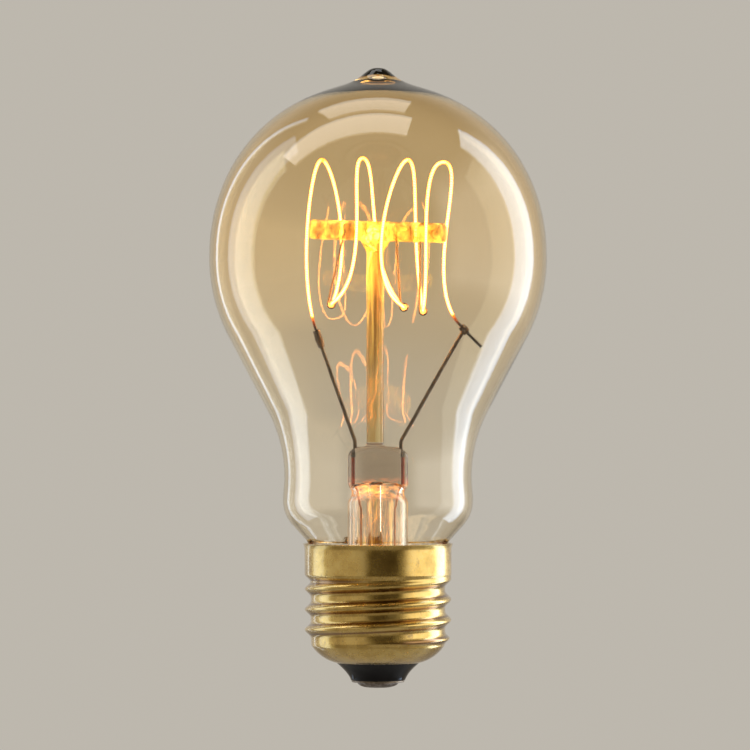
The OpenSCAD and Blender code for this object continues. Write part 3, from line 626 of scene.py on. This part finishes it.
def melted(name, shapes, voxel, rounds):
    """Overlapping shapes fused by a voxel remesh and relaxed, as glass that was melted together."""
    points, faces = joined(*shapes)
    mesh = bpy.data.meshes.new(name)
    mesh.from_pydata((points * MM).tolist(), [], faces)
    obj = bpy.data.objects.new(name + "_look", mesh)
    bpy.context.scene.collection.objects.link(obj)
    remesh = obj.modifiers.new("fuse", "REMESH")
    remesh.mode, remesh.voxel_size = "VOXEL", voxel * MM
    relax = obj.modifiers.new("relax", "SMOOTH")
    relax.factor, relax.iterations = 0.5, rounds
    fused = bpy.data.meshes.new_from_object(obj.evaluated_get(bpy.context.evaluated_depsgraph_get()))
    obj.modifiers.clear()
    obj.data = fused
    fused.name = name
    fused.shade_smooth()
    return obj


def bar_shapes(edge_r=0.8, knot_r=2.62):
    """The bar with its rounded edges, and the knot where it meets the rod."""
    tilt = Matrix.Rotation(radians(90 + BAR_TILT), 3, "Y")
    ends = arc(BAR_R - edge_r, edge_r - BAR_L / 2, edge_r, -90, 0, 8)
    ends += arc(BAR_R - edge_r, BAR_L / 2 - edge_r, edge_r, 0, 90, 8)
    points, faces = lathe([(AXIS_R, -BAR_L / 2)] + ends + [(AXIS_R, BAR_L / 2)], 48)
    points = points @ np.array(tilt).T + [0, 0, BAR_Z]
    knot = [(AXIS_R, ROD_TOP - 1.5), (ROD_R, ROD_TOP - 1.5), (ROD_R, ROD_TOP + 0.1)]
    knot += arc(0, BAR_Z - 1, knot_r, -20, 90, 24)
    return [(points, faces), lathe(knot + [(AXIS_R, BAR_Z + 1.6)], 48, ROD_X)]


def lumpy(obj, centre, reach, size, wave):
    """Pushes a melted piece in and out along its normals, most near centre (mm)."""
    mesh = obj.data
    points = np.empty(len(mesh.vertices) * 3)
    mesh.vertices.foreach_get("co", points)
    normals = np.empty(len(mesh.vertices) * 3, np.float32)
    mesh.vertex_normals.foreach_get("vector", normals)
    points, normals = points.reshape(-1, 3) / MM, normals.reshape(-1, 3)
    near = 1 - smooth(np.linalg.norm(points - centre, axis=1) / reach)
    swell = np.prod(np.sin(points * [wave, wave * 1.3, wave * 0.9] + [1.3, 0.4, 2.1]), axis=1)
    points += normals * (size * swell * (0.35 + near))[:, None]
    mesh.vertices.foreach_set("co", (points * MM).ravel())
    mesh.update()


def cut_below(obj, z):
    """Takes off what lies below height z, and leaves the cut open."""
    bm = bmesh.new()
    bm.from_mesh(obj.data)
    bmesh.ops.bisect_plane(bm, geom=bm.verts[:] + bm.edges[:] + bm.faces[:], plane_co=(0, 0, z * MM),
                           plane_no=(0, 0, 1), clear_inner=True)
    bm.to_mesh(obj.data)
    bm.free()


bar = melted("cross_bar", bar_shapes(), voxel=0.13, rounds=6)
lumpy(bar, np.array([ROD_X, 0, BAR_Z - 1]), reach=4.5, size=0.16, wave=1.9)
cut_below(bar, ROD_TOP)
bar.data.shade_smooth()
finish_piece(bar, MAT["lit_glass"], "cross_bar")


# Filament, its clamps, hooks and leads: the same curves as the CAD source. Places along the bar are in shares
# of half its length. Each loop has two legs, and legs 0 and 7 end in the clamps.

HALF_BAR = BAR_L / 2
CROWN_AT = [-0.816, -0.221, 0.434, 0.959]
CROWN_WIDE = [0.15, 0.24, 0.19, 0.39]
CROWN_OFF = [-0.2, 0.1, -0.2, -0.6]
BEND_AT = [-0.68, 0.377, 0.656]
BEND_OFF = [0.5, 0, -0.7]
HOOK_AT = [-0.484, 0.262, 0.615]
FOOT_BOW = [0, 0.307, 0.598, -0.557, -0.643, -0.189, 0.102, 0]
FOOT_UP = [0, 10, 5, 7.1, 5, 13.3, 7.1, 0]
BEND_R, SPLAY, END_HANDLE = 0.8, 30, 10.5
GRIP = 1.3
WELD_LOW, WELD_HIGH = CEILING + 0.6, PRESS_TOP - 2
LEAD_BEND_Z = PRESS_TOP + 1
LEFT_END = np.array([-0.9 * HALF_BAR, 0, BAR_Z - CLAMP_DOWN + 0.4])
RIGHT_END = np.array([1.254 * HALF_BAR, 0, BAR_Z - CLAMP_DOWN + 0.6])
LEFT_BEND = np.array([-SEAL_X, 0, LEAD_BEND_Z])
RIGHT_BEND = np.array([SEAL_X, 0, LEAD_BEND_Z])
LEFT_DIR = unit(LEFT_END - LEFT_BEND)
RIGHT_DIR = np.array([-sin(radians(45)), 0, cos(radians(45))])
RIGHT_TOP = RIGHT_END + RIGHT_DIR * PINCH_L / 2


def side_of(i):
    """The side on which leg i hangs: -1 at the front, 1 at the back."""
    return -1 if i % 2 == 0 else 1


def foot_dir(i):
    """The direction in which leg i leaves its foot."""
    return unit(np.array([FOOT_BOW[i] * HALF_BAR, 0, FOOT_UP[i]]))


def bend_low(b):
    """The lowest point of the bend between loops b and b + 1."""
    return np.array([BEND_AT[b] * HALF_BAR, 0, BAR_Z - LOOP_DOWN + BEND_OFF[b]])


def on_bend(b, a):
    """The point of bend b at angle a, from 0 at the back to 180 at the front."""
    lean = unit(foot_dir(2 * b + 1) + foot_dir(2 * b + 2))
    return bend_low(b) + np.array([0, BEND_R * cos(radians(a)), 0]) + lean * BEND_R * (1 - sin(radians(a)))


def leg(i, n=40):
    """Leg i of the filament, from its foot to the crown of its loop."""
    k = i // 2
    swing = SWING * (1.5 if i in (0, 7) else 0.8)
    crown = np.array([CROWN_AT[k] * HALF_BAR, 0, BAR_Z + LOOP_UP + CROWN_OFF[k]])
    crown_handle = crown + side_of(i) * np.array([CROWN_WIDE[k] * HALF_BAR, swing, 0])
    if i == 0:
        foot, foot_handle = LEFT_END, LEFT_END + LEFT_DIR * END_HANDLE
    elif i == 7:
        foot, foot_handle = RIGHT_TOP, RIGHT_TOP + RIGHT_DIR * END_HANDLE
    else:
        foot = on_bend((i - 1) // 2, SPLAY if i % 2 == 1 else 180 - SPLAY)
        foot_handle = foot + np.array([FOOT_BOW[i] * HALF_BAR, side_of(i) * SWING, FOOT_UP[i]])
    t = np.linspace(0, 1, n + 1)[:, None]
    return ((1 - t) ** 3 * foot + 3 * (1 - t) ** 2 * t * foot_handle + 3 * (1 - t) * t * t * crown_handle
            + t ** 3 * crown)


def filament_path():
    """The filament from its grip in the left clamp, over four loops, to its tail past the right one."""
    path = [LEFT_END - LEFT_DIR * GRIP]
    for k in range(4):
        path += list(leg(2 * k)) + list(leg(2 * k + 1)[::-1][1:])
        if k < 3:
            path += [on_bend(k, a) for a in np.arange(SPLAY + 12, 180 - SPLAY, 12)]
    path += [RIGHT_END - RIGHT_DIR * PINCH_L / 2, RIGHT_END - RIGHT_DIR * (PINCH_L / 2 + TAIL_L)]
    return np.array(path)


def resampled(path, step):
    """Even points along a path, with their distances from its start."""
    run = np.concatenate([[0], np.cumsum(np.linalg.norm(np.diff(path, axis=0), axis=1))])
    at = np.linspace(0, run[-1], int(run[-1] / step) + 1)
    return at, np.stack([np.interp(at, run, path[:, i]) for i in range(3)], 1)


def relaxed(path, rounds):
    """Rounds off the small corners that are left where two curves join."""
    p = path.copy()
    for _ in range(rounds):
        p[1:-1] = (p[:-2] + 2 * p[1:-1] + p[2:]) / 4
    return p


def coil_shape(coil_r=0.28, wire_r=0.07, pitch=0.3, turn_points=8, sides=5, core_r=0.21, core_sides=8):
    """Fine wire wound round the filament's path over a hotter core, with the heat at each of its points."""
    run, path = resampled(relaxed(resampled(filament_path(), 0.12)[1], 8), pitch / turn_points)
    _, a, b = frames(path)
    phase = 2 * pi * run / pitch
    wire = path + coil_r * (a * np.cos(phase)[:, None] + b * np.sin(phase)[:, None])
    coil = tube(wire, wire_r, sides, rounded_ends=False)
    core = tube(path[::4], core_r, core_sides, rounded_ends=False)
    holds = [bend_low(k) for k in range(3)]
    cool = np.min([np.linalg.norm(path - h, axis=1) for h in holds], axis=0)
    warm_up, gap, coil_share = 4.0, 0.2, 0.6
    heat = 0.85 + 0.15 * smooth(cool / 3.0)
    heat *= smooth((run - GRIP - gap) / warm_up) * smooth((run[-1] - TAIL_L - PINCH_L - gap - run) / warm_up)
    heats = np.concatenate([np.repeat(heat * coil_share, sides), np.repeat(heat[::4], core_sides)])
    return *joined(coil, core), heats


coil_points, coil_faces, coil_heat = coil_shape()
filament = build("filament", coil_points, coil_faces, MAT["tungsten"], "tungsten", sharp=80)
heat = filament.data.attributes.new("filament_heat", "FLOAT", "POINT")
heat.data.foreach_set("value", coil_heat[:len(filament.data.vertices)].astype(np.float32))


def in_bar(x):
    """The point on the bar's axis at share x of its half length."""
    return np.array([x * HALF_BAR, 0, BAR_Z - x * HALF_BAR * tan(radians(BAR_TILT))])


def hook_path(i):
    """A hook from its root in the bar to the eye round the filament's bend i."""
    eye_r = FILAMENT_D / 2 + HOOK_D / 2 + 0.1
    a, eye = in_bar(HOOK_AT[i]), bend_low(i)
    v = eye - a
    reach = (v @ v - eye_r ** 2) ** 0.5
    u = unit(v * reach + np.array([v[2], 0, -v[0]]) * eye_r)
    out = unit(a + u * reach - eye)
    curl = [eye + eye_r * (out * cos(radians(s)) + u * sin(radians(s))) for s in range(0, 301, 12)]
    shaft = [mix(a, curl[0], t) for t in np.linspace(0, 1, 12)[:-1]]
    return np.array(shaft + curl)


def wire(name, path, diameter, sides, look):
    """A wire along a path. Its material and its slot have the same name."""
    build(name, *tube(path, diameter / 2, sides), MAT[look], look, sharp=60)


for i, side in enumerate(("left", "middle", "right")):
    wire("support_hook_" + side, hook_path(i), HOOK_D, 12, "nickel_wire")

left_tip, lead_bend_r = LEFT_END - LEFT_DIR * (CLAMP_L - GRIP), 2.0
for side, x, turn, tip in (("left", -SEAL_X, LEFT_BEND, left_tip), ("right", SEAL_X, RIGHT_BEND, RIGHT_END)):
    path = bent([[x, 0, WELD_HIGH], turn, tip], [lead_bend_r])
    wire("inner_lead_" + side, path, LEAD_D, 16, "nickel_wire")
for side, x in (("left", -SEAL_X), ("right", SEAL_X)):
    path = [[x, 0, z] for z in np.linspace(WELD_LOW, WELD_HIGH, 8)]
    wire("seal_wire_" + side, path, SEAL_D, 16, "seal_wire")

rim_gap, rim_side = 0.36, 115
rim_low, rim_up = SEAL_Z - rim_gap, CAP_H + 0.25
rim_route = [[-SEAL_X, 0, WELD_LOW], [-SEAL_X, 0, CEILING], [-3, 0, PRESS_Z - 1], [-3, 0, rim_low],
             polar(SEAT_R + rim_gap, rim_side, rim_low), polar(SEAT_R + rim_gap, rim_side, CAP_H - 0.6),
             polar(SEAT_R + rim_gap + 0.4, rim_side, rim_up), polar(SKIRT_R + 0.75, rim_side, rim_up)]
centre_route = [[SEAL_X, 0, WELD_LOW], [SEAL_X, 0, CEILING], [3, 0, PRESS_Z - 1], [3, 0, SEAL_Z - 7],
                [0, 0, LIP_Z + 3], [0, 0, BEAD_H / 2]]
for end, route, bend_radii in (("rim", rim_route, [0.8, 0.8, 1, 3.36, 0.5, 0.4]),
                               ("centre", centre_route, [0.8, 0.8, 2, 2])):
    wire("outer_lead_" + end, bent(route, bend_radii), TAIL_D, 10, "copper_lead")


def crimp_shape(start, end, squeeze, bore_r, radius=CLAMP_D / 2, reach=0.34, sides=32):
    """A short sleeve on a line, squeezed flat round its middle, as far as reach in shares of its length."""
    axis = unit(end - start)
    flat = np.array([0, 1.0, 0])
    wide = unit(np.cross(axis, flat))
    length = np.linalg.norm(end - start)
    rings = []
    outer = [(0, 0.86), (0.02, 0.96), (0.06, 1)] + [(u, 1) for u in np.linspace(0.12, 0.88, 14)] \
        + [(0.94, 1), (0.98, 0.96), (1, 0.86)]
    for u, k in outer + [(1, bore_r / radius), (0, bore_r / radius)]:
        press = squeeze * smooth(1 - abs(u - 0.5) / reach) if k > 0.9 else 0
        ring = []
        for a in np.arange(sides) * 2 * pi / sides:
            ring.append(start + axis * length * u + radius * k * (
                wide * cos(a) * (1 + 0.5 * press) + flat * sin(a) * (1 - press)))
        rings.append(ring)
    rings.append(rings[0])
    return np.concatenate(rings), ring_faces(len(rings), sides)


for side, low, high, squeeze, bore_r in (
        ("left", LEFT_END - LEFT_DIR * CLAMP_L, LEFT_END, 0.22, 0.34),
        ("right", RIGHT_END - RIGHT_DIR * PINCH_L / 2, RIGHT_END + RIGHT_DIR * PINCH_L / 2, 0.3, 0.31)):
    build("filament_clamp_" + side, *crimp_shape(low, high, squeeze, bore_r), MAT["nickel_wire"],
          "nickel_wire", sharp=50)


# Screw shell

SHOULDER_CX = LIP_R - SHOULDER_R * cos(radians(SHOULDER_A1))
SHOULDER_CZ = LIP_Z + SHOULDER_R * sin(radians(SHOULDER_A1))
SHOULDER_TOP_R = SHOULDER_CX + SHOULDER_R * cos(radians(SHOULDER_A0))
CREST_POWER, FIRST_CREST, RUN_OUT = 1.7, 0.93, 1.6
RIM_START, RIM_ROUND = CAP_H - 1, 0.12


def thread_line(u, t):
    """Radius of the rolled thread u from a crest, t inside the outer surface: crests narrower than roots."""
    lines = []
    for d in np.linspace(-t, t, 9) if t > 0 else [0]:
        crest = np.abs(np.cos(pi * (u + d) / PITCH)) ** (2 * CREST_POWER)
        lines.append(THREAD_R - THREAD_DEPTH * (1 - crest) - (t * t - d * d) ** 0.5)
    return np.min(lines, axis=0)


def shell_ring(z, t, angles):
    """Radii round the shell at height z in the thread, which runs out into the skirt and the shoulder."""
    s = (z - THREAD_Z0 - FIRST_CREST) / PITCH - angles / (2 * pi)
    rolled = thread_line(np.abs(s - np.round(s)) * PITCH, t)
    upper = mix(rolled, SKIRT_R - t, smooth((z - THREAD_Z1 + RUN_OUT) / RUN_OUT))
    return mix(SHOULDER_TOP_R - t * cos(radians(SHOULDER_A0)), upper, smooth((z - THREAD_Z0) / RUN_OUT))


def shell_shape(n=272):
    """The shell as one closed skin: its outside, the edge of its rim, and its inside."""
    angles = np.arange(n) * 2 * pi / n

    def surface(t, rows):
        rings = [(np.full(n, x), z) for x, z in
                 arc(SHOULDER_CX, SHOULDER_CZ, SHOULDER_R - t, -SHOULDER_A1, -SHOULDER_A0, 14)]
        rings += [(shell_ring(z, t, angles), z) for z in np.linspace(THREAD_Z0, THREAD_Z1, rows)[1:]]
        rings += [(np.full(n, SKIRT_R - t), z) for z in np.linspace(THREAD_Z1, RIM_START, 10)[1:]]
        rings += [(np.full(n, SKIRT_R - t + RIM_FLARE * u ** 1.6), RIM_START + u)
                  for u in np.linspace(0.15, 0.88, 6)]
        return rings

    edge = [(np.full(n, SKIRT_R + RIM_FLARE - SHELL_T / 2 + SHELL_T / 2 * cos(a)),
             CAP_H - RIM_ROUND + RIM_ROUND * sin(a)) for a in np.linspace(0.2, pi - 0.2, 7)]
    rings = surface(0, 190) + edge + surface(SHELL_T, 100)[::-1]
    rings.append(rings[0])
    points = [np.stack([r * np.cos(angles), r * np.sin(angles), np.full(n, z)], 1) for r, z in rings]
    return np.concatenate(points), ring_faces(len(points), n)


build("screw_shell", *shell_shape(), MAT["brass"], "brass", sharp=60)


# Cement, insulator, contact and solder

def uneven(size, wave, seed):
    """A wobble for lathe: small lumps, which differ with seed from piece to piece."""
    def radius(r, z, angles):
        lumps = np.sin(angles * 3 + seed + z * wave) + 0.6 * np.sin(angles * 7 - seed * 2 + z * wave * 1.7) \
            + 0.4 * np.sin(angles * 13 + seed * 3 - z * wave * 0.6)
        return r - size * (1 + lumps / 2) * (r > 0.5)
    return radius


cement_lean = arc(SEAT_R + ENTRY_R, ENTRY_Z, ENTRY_R, 180, 180 - NECK_LEAN / 2, 8)
cement_top = cement_lean[-1][1]
shell_inside, sag, cement_low = SKIRT_R - SHELL_T, 0.12, SEAL_Z + FOOT_TURN
cement_line = [(SEAT_R, cement_low)] + cement_lean + [
    (mix(cement_lean[-1][0], shell_inside, 0.5), cement_top - sag), (shell_inside, cement_top),
    (shell_inside, cement_low)]
build("capping_cement", *lathe(cement_line, 128), MAT["cement"], "cement", sharp=50)

bottom, lead_hole_r = BEAD_H + PLATE_T, 0.7
seat_turn, collar_r, collar_z, inner_r, inner_z = 28, SHOULDER_CX + 3.4, LIP_Z + 2.1, 2.7, LIP_Z + 1.3
seat = arc(SHOULDER_CX, SHOULDER_CZ, SHOULDER_R - SHELL_T, -SHOULDER_A1, -SHOULDER_A1 + seat_turn, 9)
insulator_line = [(lead_hole_r, bottom), (PLATE_R + 0.02, bottom), (PLATE_R + 0.15, bottom + 0.06)]
for u in np.linspace(0.08, 1, 14):
    insulator_line.append((mix(PLATE_R + 0.2, LIP_R - 0.02, u ** 1.45), mix(bottom + 0.1, LIP_Z, u)))
insulator_line += seat + [(collar_r, collar_z), (inner_r, inner_z), (lead_hole_r, inner_z)]
insulator_lumps = uneven(size=0.03, wave=2.1, seed=0.7)
build("insulator", *lathe(insulator_line, 128, wobble=insulator_lumps), MAT["black_glass"], "black_glass",
      sharp=50)

plate_hole_r, edge, edge_mid = 0.4, 0.14, 0.04
plate_line = [(plate_hole_r, BEAD_H), (PLATE_R - edge, BEAD_H), (PLATE_R - edge_mid, BEAD_H + edge_mid),
              (PLATE_R, BEAD_H + edge), (PLATE_R, bottom), (plate_hole_r, bottom)]
plate_lumps = uneven(size=0.02, wave=1.0, seed=2.2)
build("contact_plate", *lathe(plate_line, 128, wobble=plate_lumps), MAT["tinned_brass"], "brass")

bead_line = [(AXIS_R, 0)] + [(mix(BEAD_FLAT_R, BEAD_R, sin(radians(a))), BEAD_H * (1 - cos(radians(a))))
                            for a in np.linspace(0, 90, 16)] + [(AXIS_R, BEAD_H)]
bead_lumps = uneven(size=0.14, wave=3.0, seed=1.4)
build("contact_solder", *lathe(bead_line, 96, wobble=bead_lumps), MAT["solder"], "solder", sharp=60)

rim_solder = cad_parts["rim_solder"]
rim_solder.data.materials.clear()
rim_solder.data.materials.append(MAT["rim_solder"])


# Studio: a pale floor and world, softboxes at both sides and above, and the camera of the photograph. The
# first five colours are those that a ray meets far away, and COOL is the side lamps'. Lengths are in metres,
# but the floor's mesh is in millimetres.

PALE = (0.51, 0.477, 0.42)
DARK = (0.06, 0.048, 0.03)
CEILING_TONE = (0.15, 0.115, 0.07)
LEFT_PANEL = (0.50, 0.47, 0.41)
RIGHT_PANEL = (1.6, 1.56, 1.45)
COOL = (0.76, 0.96, 1.28)
FLOOR_Z, FLOOR_FIRST_R, FLOOR_R = -220.0, 20, 40000
FLOOR_LIFT, FLOOR_OWN_LIGHT, FLOOR_FADE = 1.8, 0.75, (0.3, 1.5)
SIDE_AWAY, SIDE_Z, SIDE_TALL = 0.34, 0.145, 0.71
TOP_Z, TOP_AIM_Z = 0.55, 0.06
CAMERA_AT, CAMERA_LENS = (-0.00053, -1.0, 0.05547), 270.3


def straight_view(mat):
    """1 for light seen by the camera, directly or through glass, and 0 for light on the object."""
    path = node(mat, "LightPath").outputs
    bounces = maths(mat, "ADD", path["Diffuse Depth"], path["Glossy Depth"])
    return maths(mat, "LESS_THAN", bounces, 0.5)


def room(mat, kind, direction):
    """A shader for what a ray meets far away: plain pale where it is seen straight on. Where it lights the
    object it is a room, pale behind the object and dark above and on the camera's side, with a soft panel at
    the left and a brighter one at the right. direction is the output that says which way the ray goes."""
    level = node(mat, "VectorMath", operation="MULTIPLY")
    level.inputs[1].default_value = (1, 1, 0)
    link(mat, direction, level.inputs[0])
    parts = []
    for source in (level.outputs[0], direction):
        whole = node(mat, "VectorMath", operation="NORMALIZE")
        link(mat, source, whole.inputs[0])
        split = node(mat, "SeparateXYZ")
        link(mat, whole.outputs[0], split.inputs[0])
        parts.append(split.outputs)
    (x, y, _), (_, _, up) = parts
    colour = DARK
    for part, low, high, tone in ((x, -0.22, -0.42, LEFT_PANEL), (y, -0.3, 0.1, PALE),
                                  (x, 0.6, 0.85, RIGHT_PANEL), (up, 0.45, 0.8, CEILING_TONE)):
        colour = blend(mat, span(mat, part, low, high), colour, tone)
    lit = node(mat, kind)
    link(mat, colour, lit.inputs["Color"])
    plain = node(mat, kind, Color=(*PALE, 1))
    return mixed(mat, straight_view(mat), lit.outputs[0], plain.outputs[0])


def stage_floor():
    """A pale floor. Far off it shows the same room as the world. Most of what is seen of it straight on is
    its own light, so that the lamps near it leave only faint patches. It is clear from below, so that the bulb
    can be seen from there."""
    mesh = bpy.data.meshes.new("floor")
    radii = [AXIS_R] + list(np.geomspace(FLOOR_FIRST_R, FLOOR_R, 30))
    points, faces = lathe([(r, FLOOR_Z) for r in radii], 96, closed=False)
    mesh.from_pydata((points * MM).tolist(), [], [f[::-1] for f in faces])
    floor = bpy.data.objects.new("floor", mesh)
    bpy.context.scene.collection.objects.link(floor)
    mat, bsdf = material("floor", Roughness=0.6)
    _, r = axis_parts(mat)
    grain = noise(mat, place(mat), 900.0, 3.0)
    speckled = ramp(mat, grain, [(0.3, tuple(c * 0.985 for c in PALE)), (0.7, PALE)])
    seen = blend(mat, straight_view(mat), speckled, tuple(c * FLOOR_LIFT for c in PALE))
    link(mat, seen, bsdf.inputs["Base Color"])
    own_light = maths(mat, "MULTIPLY", straight_view(mat), FLOOR_OWN_LIGHT)
    fade = maths(mat, "MAXIMUM", span(mat, r, *FLOOR_FADE), own_light)
    faded = mixed(mat, fade, bsdf.outputs[0], room(mat, "Emission", place(mat)))
    clear = node(mat, "BsdfTransparent").outputs[0]
    one_sided = mixed(mat, node(mat, "NewGeometry").outputs["Backfacing"], faded, clear)
    link(mat, one_sided, mat.node_tree.nodes["Material Output"].inputs["Surface"])
    mesh.materials.append(mat)


def studio_world():
    world = bpy.data.worlds.new("studio")
    bpy.context.scene.world = world
    world.use_nodes = True
    world.node_tree.nodes.clear()
    direction = node(world, "TexCoord").outputs["Generated"]
    link(world, room(world, "Background", direction), node(world, "OutputWorld").inputs["Surface"])


def softbox(name, azimuth, away, height, width, tall, radiance, aim_x=0.0, aim_z=SIDE_Z, colour=(1, 1, 1)):
    """A rectangular lamp, hidden from the straight view, that faces a point of the XZ plane. Azimuth is
    measured from the camera's side towards +X, in degrees."""
    lamp = bpy.data.lights.new(name, "AREA")
    lamp.shape, lamp.size, lamp.size_y = "RECTANGLE", width, tall
    lamp.energy, lamp.color = radiance * width * tall * pi, colour
    obj = bpy.data.objects.new(name, lamp)
    bpy.context.scene.collection.objects.link(obj)
    a = radians(azimuth)
    obj.location = (away * sin(a), -away * cos(a), height)
    aim = Vector((aim_x, 0, aim_z)) - Vector(obj.location)
    obj.rotation_euler = aim.to_track_quat("-Z", "Y").to_euler()
    obj.visible_camera = False
    lamp.use_nodes = True
    shown = maths(lamp, "SUBTRACT", 1.0, straight_view(lamp))
    link(lamp, shown, lamp.node_tree.nodes["Emission"].inputs["Strength"])


def studio_camera():
    data = bpy.data.cameras.new("camera")
    data.sensor_width, data.lens, data.clip_start = 36, CAMERA_LENS, 0.05
    camera = bpy.data.objects.new("camera", data)
    camera.location, camera.rotation_euler = CAMERA_AT, (pi / 2, 0, 0)
    bpy.context.scene.collection.objects.link(camera)
    bpy.context.scene.camera = camera


stage_floor()
studio_world()
for name, azimuth, width, radiance in (("strip_left", -106, 0.163, 1.15), ("strip_right", 115.5, 0.151, 2.5),
                                       ("edge_left", -139, 0.024, 1.5)):
    softbox(name, azimuth, SIDE_AWAY, SIDE_Z, width, SIDE_TALL, radiance, colour=COOL)
softbox("top_back", -169.4, away=0.244, height=TOP_Z, width=0.28, tall=0.16, radiance=1.5, aim_x=-0.045,
        aim_z=TOP_AIM_Z)
softbox("overhead", -99.5, away=0.1825, height=TOP_Z, width=0.6, tall=0.17, radiance=2.6, aim_x=-0.18,
        aim_z=TOP_AIM_Z)
studio_camera()
bpy.context.scene.view_settings.view_transform = "Standard"
